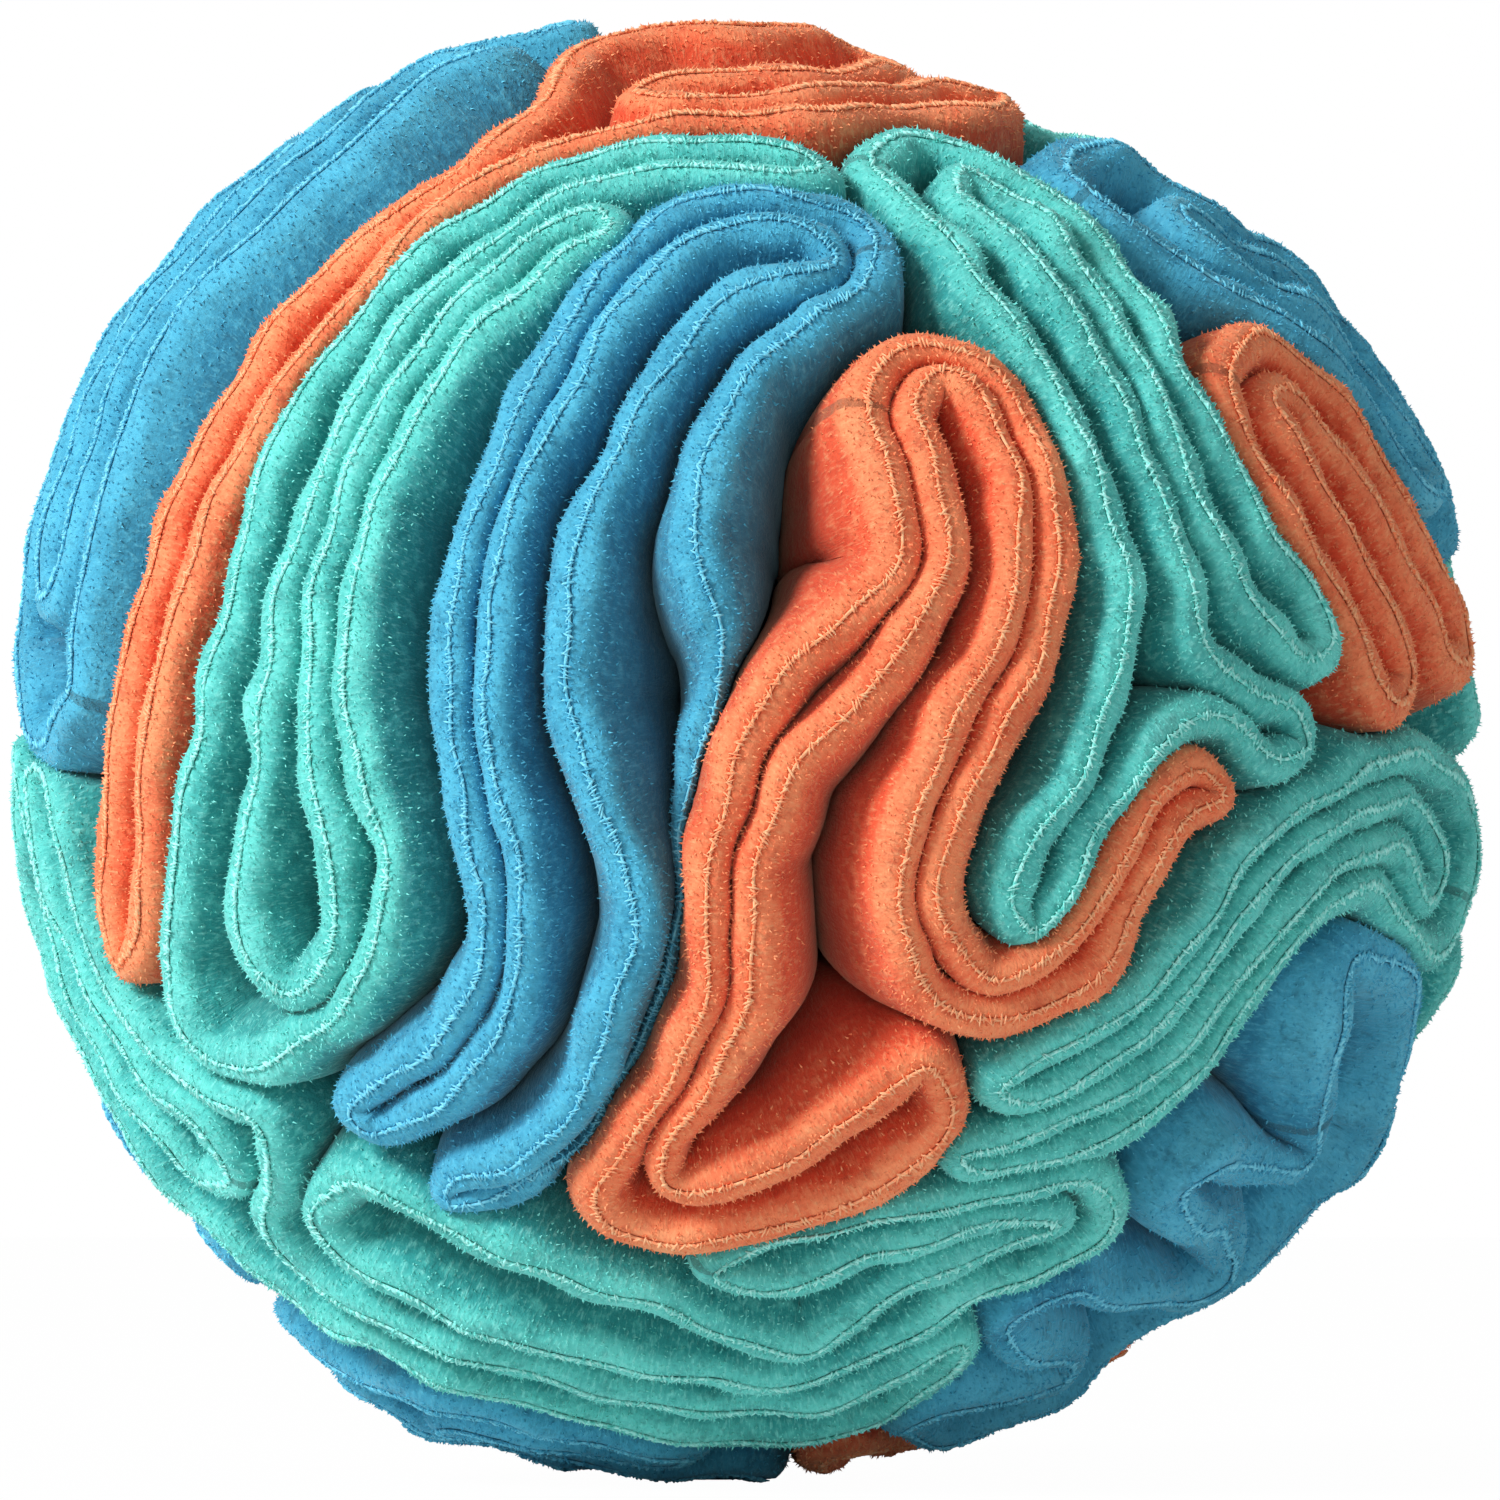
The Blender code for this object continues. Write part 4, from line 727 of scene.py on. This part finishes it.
def make_cloth(rim, side):
    label = "inner" if side > 0 else "outer"
    rings = section_rings(rim, side)
    columns = []
    for angle, depth in rings:
        aside = unit(rim.directions + side * rim.sides * np.tan(angle)[:, None])
        columns.append(aside * (rim.heights - depth)[:, None] + CENTRE)
    grid = np.stack(columns, axis=1)
    depths = np.stack([depth for _, depth in rings], axis=1)
    raised = crumple(grid.reshape(-1, 3), rim, np.clip(1 - depths / CRUMPLE_DEPTH, 0, 1).ravel())
    grid[..., 2] = np.maximum(grid[..., 2], 0)
    mesh = grid_mesh(f"{rim.name}_{label}_plush", grid, flip=side > 0)
    free = np.clip(1 - depths / PILE_DEPTH, 0, 1)
    free[:, :1], free[:, -BARE_RINGS:] = SEAM_PILE, 0
    steps = np.linalg.norm(np.diff(grid, axis=1, prepend=grid[:, :1]), axis=2)
    across = np.cumsum(steps, axis=1)
    along = np.linspace(0, rim.length, len(grid), endpoint=False)[:, None] + 0 * across
    nap = np.stack([along, side * across, 0 * across + NAP_SHIFT * rim.number], axis=2)
    add_attribute(mesh, "nap", nap, "FLOAT_VECTOR")
    # Painted shade and highlight: depth, eased on open folds, less where lifted or crumpled
    # outward, more where crumpled inward
    shade_and_highlight_depth = depths / MM * np.clip(depths / OPEN_DEPTHS.get(rim.name, NEARLY_SHUT), 0, 1)
    shade_and_highlight_depth -= PAINTED_LIGHT_LIFT.get(rim.name, 0.0) + CRUMPLE_LIGHT * raised.reshape(depths.shape) / MM
    add_attribute(mesh, "deep", shade_and_highlight_depth)
    add_attribute(mesh, "pile", free * np.clip(grid[..., 2] / FLOOR_PILE_HEIGHT, 0, 1))
    return add_object(mesh.name, mesh)


cloths = {(rim.name, side): make_cloth(rim, side) for rim in rims for side in (1, -1)}
print(len(cloths), "circles,", sum(len(cloth.data.polygons) for cloth in cloths.values()), "faces")

# %% [markdown]
# ## Finishes
# Plush is matt, with a soft gloss at grazing angles that the sheen of the
# Principled shader gives. Its pile lies in patches, so noises of four sizes
# vary the colour: brushed areas, clumps, single fibres, and hairs that are
# drawn out along the `nap`. Their tips catch the light, and a lighter tone
# paints these highlights at random. The `deep` attribute paints shade: the
# cloth darkens down the flanks and into the creases, where little light comes
# back out. Where `deep` falls below nought, on crests, the lighter tone paints a
# highlight. Thread and loose tufts have a plainer finish in brighter tones. For
# the tufts these tones are painted light, so that their shaded sides don't show
# dark.

# %% Node helpers
NOISE_ROUGHNESS = 0.6
VECTORS = "ShaderNodeVectorMath"


def feed(tree, socket, value):
    """Gives an input its value, or links it to the output that makes the value."""
    if hasattr(value, "is_linked"):
        tree.links.new(value, socket)
    else:
        socket.default_value = value


def add_node(tree, kind, inputs=(), **settings):
    """A new node with its settings made and its inputs fed, each by its name or place."""
    node = tree.nodes.new(kind)
    for key, value in settings.items():
        setattr(node, key, value)
    for name, value in dict(inputs).items():
        feed(tree, node.inputs[name], value)
    return node


def typed(sockets, name, kind):
    """The socket of a name and kind, on a node that has one of the name for each kind."""
    return next(socket for socket in sockets if socket.name == name and socket.type == kind)


def noise(tree, place, scale, detail=2.0):
    look = {"Vector": place, "Scale": scale, "Detail": detail, "Roughness": NOISE_ROUGHNESS}
    return add_node(tree, "ShaderNodeTexNoise", look).outputs["Fac"]


def spread(tree, value, low, high, to_low=0.0, to_high=1.0):
    ends = {"Value": value, "From Min": low, "From Max": high, "To Min": to_low, "To Max": to_high}
    return add_node(tree, "ShaderNodeMapRange", ends, clamp=True).outputs["Result"]


def blend(tree, amount, first, second):
    made = add_node(tree, "ShaderNodeMix", {"Factor": amount}, data_type="RGBA", clamp_factor=True)
    for name, value in (("A", first), ("B", second)):
        value = value if hasattr(value, "is_linked") else (*value, 1)
        feed(tree, typed(made.inputs, name, "RGBA"), value)
    return typed(made.outputs, "Result", "RGBA")


def maths(tree, operation, *values, kind="ShaderNodeMath"):
    """The result of a sum, product or the like of values, or of vectors with their own kind."""
    return add_node(tree, kind, dict(enumerate(values)), operation=operation).outputs[0]


def new_material(name, looks):
    """A material, its tree and its shader, whose inputs are given their looks by name."""
    material = bpy.data.materials.new(name)
    material.use_nodes = True
    tree = material.node_tree
    shader = tree.nodes["Principled BSDF"]
    for socket, value in looks.items():
        feed(tree, shader.inputs[socket], value)
    return material, tree, shader


def add_bump(tree, shader, height, strength, distance):
    looks = {"Height": height, "Strength": strength, "Distance": distance}
    feed(tree, shader.inputs["Normal"], add_node(tree, "ShaderNodeBump", looks).outputs["Normal"])


def object_place(tree):
    return add_node(tree, "ShaderNodeTexCoord").outputs["Object"]


# %% The plush finish
# Tones of each colour; the tip tone is a lighter one that paints highlights on hairs, raised crests
# and tufts
PLUSH_COLOURS = {
    "teal": {"light": (0.150, 0.720, 0.655), "mid": (0.040, 0.375, 0.365),
             "dark": (0.012, 0.115, 0.118), "tip": (0.30, 0.90, 0.83),
             "sheen": (0.60, 1.0, 0.97), "thread": (0.50, 1.0, 0.94)},
    "blue": {"light": (0.090, 0.485, 0.700), "mid": (0.038, 0.265, 0.435),
             "dark": (0.020, 0.078, 0.130), "tip": (0.14, 0.58, 0.78),
             "sheen": (0.55, 0.90, 1.0), "thread": (0.26, 0.76, 0.94)},
    "orange": {"light": (1.0, 0.310, 0.140), "mid": (0.84, 0.112, 0.047),
               "dark": (0.42, 0.030, 0.018), "tip": (1.0, 0.45, 0.22),
               "sheen": (1.0, 0.75, 0.50), "thread": (1.0, 0.55, 0.30)},
}
# The scale and the detail of each noise
PLUSH_NOISES = {"brushed": (130, 2), "clump": (620, 3), "fibre": (2300, 2), "hair": (2600, 3)}
HAIR_STRETCH = (1.0, 0.30, 1.0)
# What each layer of colour follows, from where to where, how much at most, and its tone
# The deep layers paint shade, mid and then dark down the flanks and creases, and below nought a
# painted highlight in the tip tone
PLUSH_LAYERS = [
    ("deep", 0.1, 2.0, 1.0, "mid"), ("deep", 0.0, -1.6, 0.75, "tip"),
    ("brushed", 0.42, 0.62, 0.45, "mid"), ("clump", 0.52, 0.70, 0.70, "light"),
    ("clump", 0.46, 0.28, 0.42, "dark"), ("hair", 0.52, 0.70, 0.65, "tip"),
    ("hair", 0.46, 0.30, 0.40, "mid"), ("fibre", 0.44, 0.28, 0.20, "dark"),
    ("deep", 1.6, 9.5, 0.82, "dark"),
]
HAIR_IN_RELIEF, FIBRE_IN_RELIEF = 0.5, 0.25


def plush_material(colour):
    looks = PLUSH_COLOURS[colour]
    material, tree, shader = new_material(f"{colour}_plush_pile", {
        "Roughness": 0.95, "Specular IOR Level": 0.15, "Sheen Weight": 0.35,
        "Sheen Roughness": 0.45, "Sheen Tint": (*looks["sheen"], 1)})
    place = object_place(tree)
    deep, nap = (add_node(tree, "ShaderNodeAttribute", attribute_name=name)
                 for name in ("deep", "nap"))
    drawn = maths(tree, "MULTIPLY", nap.outputs["Vector"], HAIR_STRETCH, kind=VECTORS)
    values = {name: noise(tree, drawn if name == "hair" else place, *look)
              for name, look in PLUSH_NOISES.items()}
    relief = blend(tree, HAIR_IN_RELIEF, values["clump"], values["hair"])
    add_bump(tree, shader, blend(tree, FIBRE_IN_RELIEF, relief, values["fibre"]), 1.0, 0.5 * MM)
    # The depth that drives the painted shade and painted highlight
    values["deep"] = deep.outputs["Fac"]
    base = looks["light"]
    for name, low, high, most, tone in PLUSH_LAYERS:
        base = blend(tree, spread(tree, values[name], low, high, 0.0, most), base, looks[tone])
    feed(tree, shader.inputs["Base Color"], base)
    return material


def strand_material(name, first, second):
    """The finish of thread and of loose tufts: two tones in short stretches."""
    material, tree, shader = new_material(name, {"Roughness": 0.85, "Specular IOR Level": 0.15})
    strand = noise(tree, object_place(tree), 1500)
    tones = blend(tree, spread(tree, strand, 0.35, 0.62), first, second)
    feed(tree, shader.inputs["Base Color"], tones)
    add_bump(tree, shader, strand, 0.5, 0.1 * MM)
    return material


plushes = {colour: plush_material(colour) for colour in PLUSH_COLOURS}
threads = {colour: strand_material(f"{colour}_seam_thread", looks["light"], looks["thread"])
           for colour, looks in PLUSH_COLOURS.items()}
# Tufts get only the light and tip tones: painted light, so that their shaded sides don't show dark
tips = {colour: strand_material(f"{colour}_pile_tips", looks["light"], looks["tip"])
        for colour, looks in PLUSH_COLOURS.items()}
finishes = [*plushes.values(), *threads.values(), *tips.values()]
print("finishes:", ", ".join(finish.name for finish in finishes))

# %% [markdown]
# ## The pile's relief, in Geometry Nodes
# The nap of plush is never level: it stands in clumps a millimetre or two
# wide. A small tree moves each point along its normal by a noise, as far as
# the `pile` attribute allows. The tree is built here, gets its inputs by
# their identifiers, and its result becomes a plain mesh.

# %% Tools for Geometry Nodes
def new_tree(name, inputs):
    """A tree with named inputs, and the outputs of its input node."""
    tree = bpy.data.node_groups.new(name, "GeometryNodeTree")
    tree.interface.new_socket("Geometry", in_out="INPUT", socket_type="NodeSocketGeometry")
    for title, kind, value in inputs + [("Finish", "Material", None)]:
        socket = tree.interface.new_socket(title, in_out="INPUT", socket_type=f"NodeSocket{kind}")
        if value is not None:
            socket.default_value = value
    tree.interface.new_socket("Geometry", in_out="OUTPUT", socket_type="NodeSocketGeometry")
    return tree, tree.nodes.new("NodeGroupInput").outputs


def finish_tree(tree, start, geometry, smooth=False):
    """Ends a tree: instances made real, perhaps smooth, and painted with its finish."""
    real = add_node(tree, "GeometryNodeRealizeInstances", {0: geometry}).outputs[0]
    if smooth:
        real = add_node(tree, "GeometryNodeSetShadeSmooth", {0: real}).outputs[0]
    painted = add_node(tree, "GeometryNodeSetMaterial",
                       {"Geometry": real, "Material": start["Finish"]})
    add_node(tree, "NodeGroupOutput", {0: painted.outputs[0]})
    return tree


def run_tree(source, tree, name, values):
    """The tree's result on a source object, as a plain mesh object of its own."""
    holder = source.copy()
    bpy.context.scene.collection.objects.link(holder)
    modifier = holder.modifiers.new("made", "NODES")
    modifier.node_group = tree
    for socket in tree.interface.items_tree:
        if socket.in_out == "INPUT" and socket.name in values:
            modifier[socket.identifier] = values[socket.name]
    evaluated = holder.evaluated_get(bpy.context.evaluated_depsgraph_get())
    mesh = bpy.data.meshes.new_from_object(evaluated)
    bpy.data.objects.remove(holder, do_unlink=True)
    mesh.name = name
    return add_object(name, mesh)


def named(tree, name):
    made = add_node(tree, "GeometryNodeInputNamedAttribute", {"Name": name}, data_type="FLOAT")
    return made.outputs["Attribute"]


def scaled(tree, vector, factor):
    return add_node(tree, VECTORS, {0: vector, "Scale": factor}, operation="SCALE").outputs[0]


def vector_of(tree, x=0.0, y=0.0, z=0.0):
    return add_node(tree, "ShaderNodeCombineXYZ", {0: x, 1: y, 2: z}).outputs[0]


def position(tree):
    return add_node(tree, "GeometryNodeInputPosition").outputs[0]


def moved(tree, geometry, offset):
    made = add_node(tree, "GeometryNodeSetPosition", {"Geometry": geometry, "Offset": offset})
    return made.outputs[0]


def random_value(tree, low, high, kind="VALUE", seed=0):
    """A random number or vector at each point, from low to high."""
    made = add_node(tree, "FunctionNodeRandomValue", {"Seed": seed},
                    data_type="FLOAT_VECTOR" if kind == "VECTOR" else "FLOAT")
    for name, value in (("Min", low), ("Max", high)):
        feed(tree, typed(made.inputs, name, kind), value)
    return typed(made.outputs, "Value", kind)


def turned(tree, rotation, turn):
    made = add_node(tree, "FunctionNodeRotateRotation", {0: rotation, 1: turn},
                    rotation_space="LOCAL")
    return made.outputs[0]


# %% The relief tree
NOISE_MIDDLE = 0.55


def relief_tree():
    tree, start = new_tree("pile_relief", [
        ("Clump Scale", "Float", 520.0), ("Wide Scale", "Float", 150.0),
        ("Clump Height", "Float", 0.3 * MM), ("Wide Height", "Float", 0.5 * MM)])
    heights = []
    for size in ("Clump", "Wide"):
        look = {"Vector": position(tree), "Scale": start[f"{size} Scale"], "Detail": 1.0}
        cloud = add_node(tree, "ShaderNodeTexNoise", look).outputs["Fac"]
        above = maths(tree, "SUBTRACT", cloud, NOISE_MIDDLE)
        heights.append(maths(tree, "MULTIPLY", above, start[f"{size} Height"]))
    height = maths(tree, "MULTIPLY", maths(tree, "ADD", *heights), named(tree, "pile"))
    push = scaled(tree, add_node(tree, "GeometryNodeInputNormal").outputs[0], height)
    return finish_tree(tree, start, moved(tree, start["Geometry"], push))


relief = relief_tree()
for key, cloth in list(cloths.items()):
    name = cloth.name
    cloth.name = "flat_" + name
    cloths[key] = run_tree(cloth, relief, name, {"Finish": plushes[colour_of(name)]})
    bpy.data.objects.remove(cloth, do_unlink=True)
print("relief on", len(cloths), "circles")

# %% [markdown]
# ## Loose tufts of pile
# At the lips single tufts stand free and make the outline fuzzy. They are
# scattered over the cloth where the `pile` attribute is high, leaning at
# random. Each tuft is a closed cone of four faces, because there are many.

# %% The tuft tree
FREE_FROM, FREE_SLOPE = 0.45, 1.8
TUFT_SIZES = (0.55, 1.25)


def tuft_tree():
    tree, start = new_tree("pile_tufts", [
        ("Per Square Metre", "Float", 2.0e6), ("Length", "Float", 0.46 * MM),
        ("Thickness", "Float", 0.12 * MM), ("Lean", "Float", 0.7), ("Seed", "Int", 0)])
    free = maths(tree, "SUBTRACT", named(tree, "pile"), FREE_FROM)
    free = maths(tree, "MAXIMUM", maths(tree, "MULTIPLY", free, FREE_SLOPE), 0.0)
    density = maths(tree, "MULTIPLY", start["Per Square Metre"], free)
    scatter = add_node(tree, "GeometryNodeDistributePointsOnFaces",
                       {"Mesh": start["Geometry"], "Density": density, "Seed": start["Seed"]},
                       distribute_method="RANDOM").outputs
    cone = add_node(tree, "GeometryNodeMeshCone",
                    {"Vertices": 3, "Radius Top": 0.0, "Radius Bottom": start["Thickness"],
                     "Depth": start["Length"]}, fill_type="NGON")
    most = vector_of(tree, start["Lean"], start["Lean"], math.pi)
    lean = random_value(tree, scaled(tree, most, -1.0), most, "VECTOR", start["Seed"])
    plant = add_node(tree, "GeometryNodeInstanceOnPoints", {
        "Points": scatter["Points"], "Instance": cone.outputs["Mesh"],
        "Rotation": turned(tree, scatter["Rotation"], lean),
        "Scale": random_value(tree, *TUFT_SIZES)})
    return finish_tree(tree, start, plant.outputs[0])


tufting = tuft_tree()
piles = {}
for number, (key, cloth) in enumerate(cloths.items()):
    name = cloth.name.replace("_plush", "_pile")
    values = {"Finish": tips[colour_of(name)], "Seed": number}
    piles[key] = run_tree(cloth, tufting, name, values)
print("faces of tufts:", sum(len(pile.data.polygons) for pile in piles.values()))

# %% [markdown]
# ## The sewn rim
# The two circles are joined by an overlocked seam. Its thread shows as a fuzzy
# row of small teeth along the groove. A curve runs along each groove. The
# tree sweeps a thin cord a little below it and lays teeth across the cord,
# each turned and sized at random. The pile hides some, so a share is left out.

# %% The stitch tree
STITCH_RISE, STITCH_FLOOR_GAP = 0.16 * MM, 0.3 * MM


def seam_curve(rim):
    data = bpy.data.curves.new(f"{rim.name}_seam_line", "CURVE")
    data.dimensions = "3D"
    spline = data.splines.new("POLY")
    spline.use_cyclic_u = True
    points = rim.directions * (rim.heights + STITCH_RISE)[:, None] + CENTRE
    crumple(points, rim, np.ones(len(points)))
    points[:, 2] = np.maximum(points[:, 2], STITCH_FLOOR_GAP)
    spline.points.add(len(points) - 1)
    spline.points.foreach_set("co", np.hstack([points, np.ones((len(points), 1))]).ravel())
    return add_object(data.name, data)


TOOTH_SIZES = ((0.5, 0.5, 0.5), (1.3, 1.3, 1.2))
CORD_SIDES = 5


def stitch_tree():
    tree, start = new_tree("rim_stitches", [
        ("Spacing", "Float", 0.40 * MM), ("Stitch Size", "Vector", None),
        ("Centre", "Vector", None), ("Swing", "Float", 1.0), ("Seen Share", "Float", 0.80),
        ("Cord Radius", "Float", 0.19 * MM), ("Cord Sink Share", "Float", 0.0020)])
    points = add_node(tree, "GeometryNodeCurveToPoints",
                      {"Curve": start["Geometry"], "Length": start["Spacing"]},
                      mode="LENGTH").outputs
    outward = maths(tree, "SUBTRACT", position(tree), start["Centre"], kind=VECTORS)
    along = add_node(tree, "FunctionNodeAlignRotationToVector",
                     {"Vector": points["Tangent"]}, axis="X")
    upright = add_node(tree, "FunctionNodeAlignRotationToVector",
                       {"Rotation": along.outputs[0], "Vector": outward}, axis="Z", pivot_axis="X")
    swing = random_value(tree, maths(tree, "MULTIPLY", start["Swing"], -1.0), start["Swing"])
    tooth = add_node(tree, "GeometryNodeMeshIcoSphere", {"Radius": 1.0, "Subdivisions": 1})
    seen = add_node(tree, "FunctionNodeRandomValue", {"Probability": start["Seen Share"]},
                    data_type="BOOLEAN")
    grow = random_value(tree, *TOOTH_SIZES, "VECTOR")
    plant = add_node(tree, "GeometryNodeInstanceOnPoints", {
        "Points": points["Points"], "Selection": typed(seen.outputs, "Value", "BOOLEAN"),
        "Instance": tooth.outputs["Mesh"],
        "Rotation": turned(tree, upright.outputs[0], vector_of(tree, z=swing)),
        "Scale": maths(tree, "MULTIPLY", start["Stitch Size"], grow, kind=VECTORS)})
    ring = add_node(tree, "GeometryNodeCurvePrimitiveCircle", {"Resolution": CORD_SIDES})
    feed(tree, typed(ring.inputs, "Radius", "VALUE"), start["Cord Radius"])
    inward = scaled(tree, outward, maths(tree, "MULTIPLY", start["Cord Sink Share"], -1.0))
    lower = moved(tree, start["Geometry"], inward)
    cord = add_node(tree, "GeometryNodeCurveToMesh",
                    {"Curve": lower, "Profile Curve": ring.outputs["Curve"]})
    both = add_node(tree, "GeometryNodeJoinGeometry")
    for part in (plant, cord):
        tree.links.new(part.outputs[0], both.inputs[0])
    return finish_tree(tree, start, both.outputs[0], smooth=True)


stitching = stitch_tree()
seams = {}
for rim in rims:
    line = seam_curve(rim)
    values = {"Finish": threads[rim.colour], "Centre": tuple(CENTRE),
              "Stitch Size": (0.14 * MM, 0.76 * MM, 0.24 * MM)}
    seams[rim.name] = run_tree(line, stitching, f"{rim.name}_seam_thread", values)
    bpy.data.objects.remove(line, do_unlink=True)
print("faces of thread:", sum(len(seam.data.polygons) for seam in seams.values()))

# %% [markdown]
# ## The stuffed core
# Inside, a small ball of filling sits in a cloth cover of two halves, sewn at
# the middle. It is turned like a bowl from a profile, with a soft pucker.

# %% Turn the core
CORE_RADIUS, COVER_THICKNESS, COVER_GAP = 18.0 * MM, 1.2 * MM, 0.3 * MM
CORE_SEGMENTS, CORE_ROWS = 72, 18
PUCKERS, PUCKER_SHARE = 14, 0.010


def turned_mesh(name, profile, flip):
    """A closed mesh turned about Y from pairs: radius, 0 at a pole, and place along Y."""
    points, rings = [], []
    for radius, along in profile:
        if radius == 0:
            rings.append([len(points)] * CORE_SEGMENTS)
            points.append(CENTRE + (0, along, 0))
            continue
        rings.append(list(range(len(points), len(points) + CORE_SEGMENTS)))
        for k in range(CORE_SEGMENTS):
            angle = math.tau * k / CORE_SEGMENTS
            pucker = PUCKER_SHARE * (1 - math.cos(PUCKERS * angle)) * (radius / CORE_RADIUS) ** 4
            out = radius * (1 - pucker)
            points.append(CENTRE + (out * math.cos(angle), along, out * math.sin(angle)))
    faces = []
    for low, high in zip(rings, rings[1:] + rings[:1]):
        for k in range(CORE_SEGMENTS):
            beyond = (k + 1) % CORE_SEGMENTS
            corners = list(dict.fromkeys([low[k], low[beyond], high[beyond], high[k]]))
            if len(corners) > 2:
                faces.append(corners[::-1] if flip else corners)
    mesh = bpy.data.meshes.new(name)
    mesh.from_pydata([tuple(point) for point in points], [], faces)
    mesh.shade_smooth()
    return add_object(name, mesh)


def make_cover(label, sign):
    profile = []
    for radius, steps in ((CORE_RADIUS, range(CORE_ROWS + 1)),
                          (CORE_RADIUS - COVER_THICKNESS, range(CORE_ROWS, -1, -1))):
        for step in steps:
            angle = math.pi / 2 * step / CORE_ROWS
            out = 0 if step == CORE_ROWS else radius * math.cos(angle)
            profile.append((out, sign * max(radius * math.sin(angle), COVER_GAP / 2)))
    return turned_mesh(f"core_cover_{label}_cloth", profile, flip=sign > 0)


covers = {label: make_cover(label, sign) for label, sign in (("front", -1), ("back", 1))}
stuffing_radius = CORE_RADIUS - COVER_THICKNESS - COVER_GAP
filling_profile = []
for step in range(2 * CORE_ROWS + 1):
    angle = math.pi * step / (2 * CORE_ROWS)
    out = 0 if step in (0, 2 * CORE_ROWS) else stuffing_radius * math.sin(angle)
    filling_profile.append((out, stuffing_radius * math.cos(angle)))
filling = turned_mesh("core_stuffing", filling_profile, flip=False)
print("core of", CORE_RADIUS / MM, "mm radius")

# %% The core's finishes
def soft_material(name, first, second, scale, bump_height):
    material, tree, shader = new_material(name, {"Roughness": 0.95, "Sheen Weight": 0.2})
    cloud = noise(tree, object_place(tree), scale, 4)
    tones = blend(tree, spread(tree, cloud, 0.35, 0.65), first, second)
    feed(tree, shader.inputs["Base Color"], tones)
    add_bump(tree, shader, cloud, 0.8, bump_height)
    return material


core_cloth = soft_material("core_cloth_weave", (0.04, 0.33, 0.29), (0.08, 0.50, 0.44),
                           900, 0.2 * MM)
core_fibre = soft_material("core_filling_fibre", (0.66, 0.65, 0.62), (0.88, 0.87, 0.84),
                           380, 0.6 * MM)
for cover in covers.values():
    cover.data.materials.append(core_cloth)
filling.data.materials.append(core_fibre)

# %% [markdown]
# ## Put every piece on the frame
# Each piece rides on the frame's one body and takes the place of its CAD
# node.


for label, cover in covers.items():
    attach(cover, "root")
    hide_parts(f"core_cover_{label}")
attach(filling, "root")
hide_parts("core_filling")
for rim in rims:
    for side, label in ((1, "inner"), (-1, "outer")):
        cloth, pile = cloths[rim.name, side], piles[rim.name, side]
        for piece in (cloth, pile):
            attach(piece, "root")
        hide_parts(f"{rim.name}_{label}_circle")
    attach(seams[rim.name], "root")
print("declared", 2 * len(rims), "circles")

# %% [markdown]
# ## Floor, light and camera
# The ball stands on a plain pale floor in soft studio light: a large lamp
# from the upper left and an even sky. The camera is level with the ball's
# middle and far away, with a long lens, so the ball fills the picture.

# %% The floor
FLOOR_HALF_WIDTH = 1.2
FLOOR_GLOW = 0.985
WHITE, PALE = (1, 1, 1, 1), (0.9, 0.9, 0.9, 1)


def make_floor():
    mesh = bpy.data.meshes.new("studio_floor")
    corners = np.array([(-1, -1, 0), (1, -1, 0), (1, 1, 0), (-1, 1, 0)]) * FLOOR_HALF_WIDTH
    mesh.from_pydata(corners.tolist(), [], [(0, 1, 2, 3)])
    material, tree, shader = new_material("pale_floor", {"Roughness": 0.9, "Base Color": PALE})
    glow = add_node(tree, "ShaderNodeEmission", {"Color": WHITE})
    seen = add_node(tree, "ShaderNodeLightPath").outputs["Is Camera Ray"]
    share = maths(tree, "MULTIPLY", seen, FLOOR_GLOW)
    mix = add_node(tree, "ShaderNodeMixShader",
                   {0: share, 1: shader.outputs[0], 2: glow.outputs[0]})
    tree.links.new(mix.outputs[0], tree.nodes["Material Output"].inputs["Surface"])
    mesh.materials.append(material)
    add_object(mesh.name, mesh)


make_floor()

# %% The sky and the lamps
SKY_STRENGTH = 0.33
world = bpy.data.worlds.new("studio_sky")
bpy.context.scene.world = world
world.use_nodes = True
sky_tree = world.node_tree
sky = sky_tree.nodes["Background"]
sky.inputs["Color"].default_value = WHITE
camera_ray = add_node(sky_tree, "ShaderNodeLightPath").outputs["Is Camera Ray"]
sky_tree.links.new(spread(sky_tree, camera_ray, 0, 1, SKY_STRENGTH, 1.0), sky.inputs["Strength"])


def add_lamp(name, place, size, power):
    lamp = bpy.data.lights.new(name, "AREA")
    lamp.shape = "DISK"
    lamp.size = size
    lamp.energy = power
    made = add_object(name, lamp)
    made.location = place
    x, y, z = CENTRE - np.array(place)
    made.rotation_euler = (math.atan2(math.hypot(x, y), -z), 0, math.atan2(-x, y))


add_lamp("key_lamp", (-1.35, -0.95, 1.15), 0.6, 38)
add_lamp("fill_lamp", (1.2, -1.0, 0.5), 1.0, 1.0)
print("sky strength", SKY_STRENGTH)

# %% The camera
CAMERA_DISTANCE = 2.4
HALF_PICTURE_PIXELS, HALF_BALL_PIXELS = 750, 745
HALF_VIEW = BALL_RADIUS * HALF_PICTURE_PIXELS / HALF_BALL_PIXELS
camera_data = bpy.data.cameras.new("studio_camera")
camera_data.sensor_width = 36
camera_data.lens = camera_data.sensor_width / 2 * CAMERA_DISTANCE / HALF_VIEW
camera_data.clip_end = 20
camera = add_object("studio_camera", camera_data)
camera.location = (CENTRE[0], CENTRE[1] - CAMERA_DISTANCE, CENTRE[2])
camera.rotation_euler = (math.pi / 2, 0, 0)
bpy.context.scene.camera = camera
bpy.context.scene.view_settings.view_transform = "Standard"
print("lens", round(camera_data.lens), "mm")
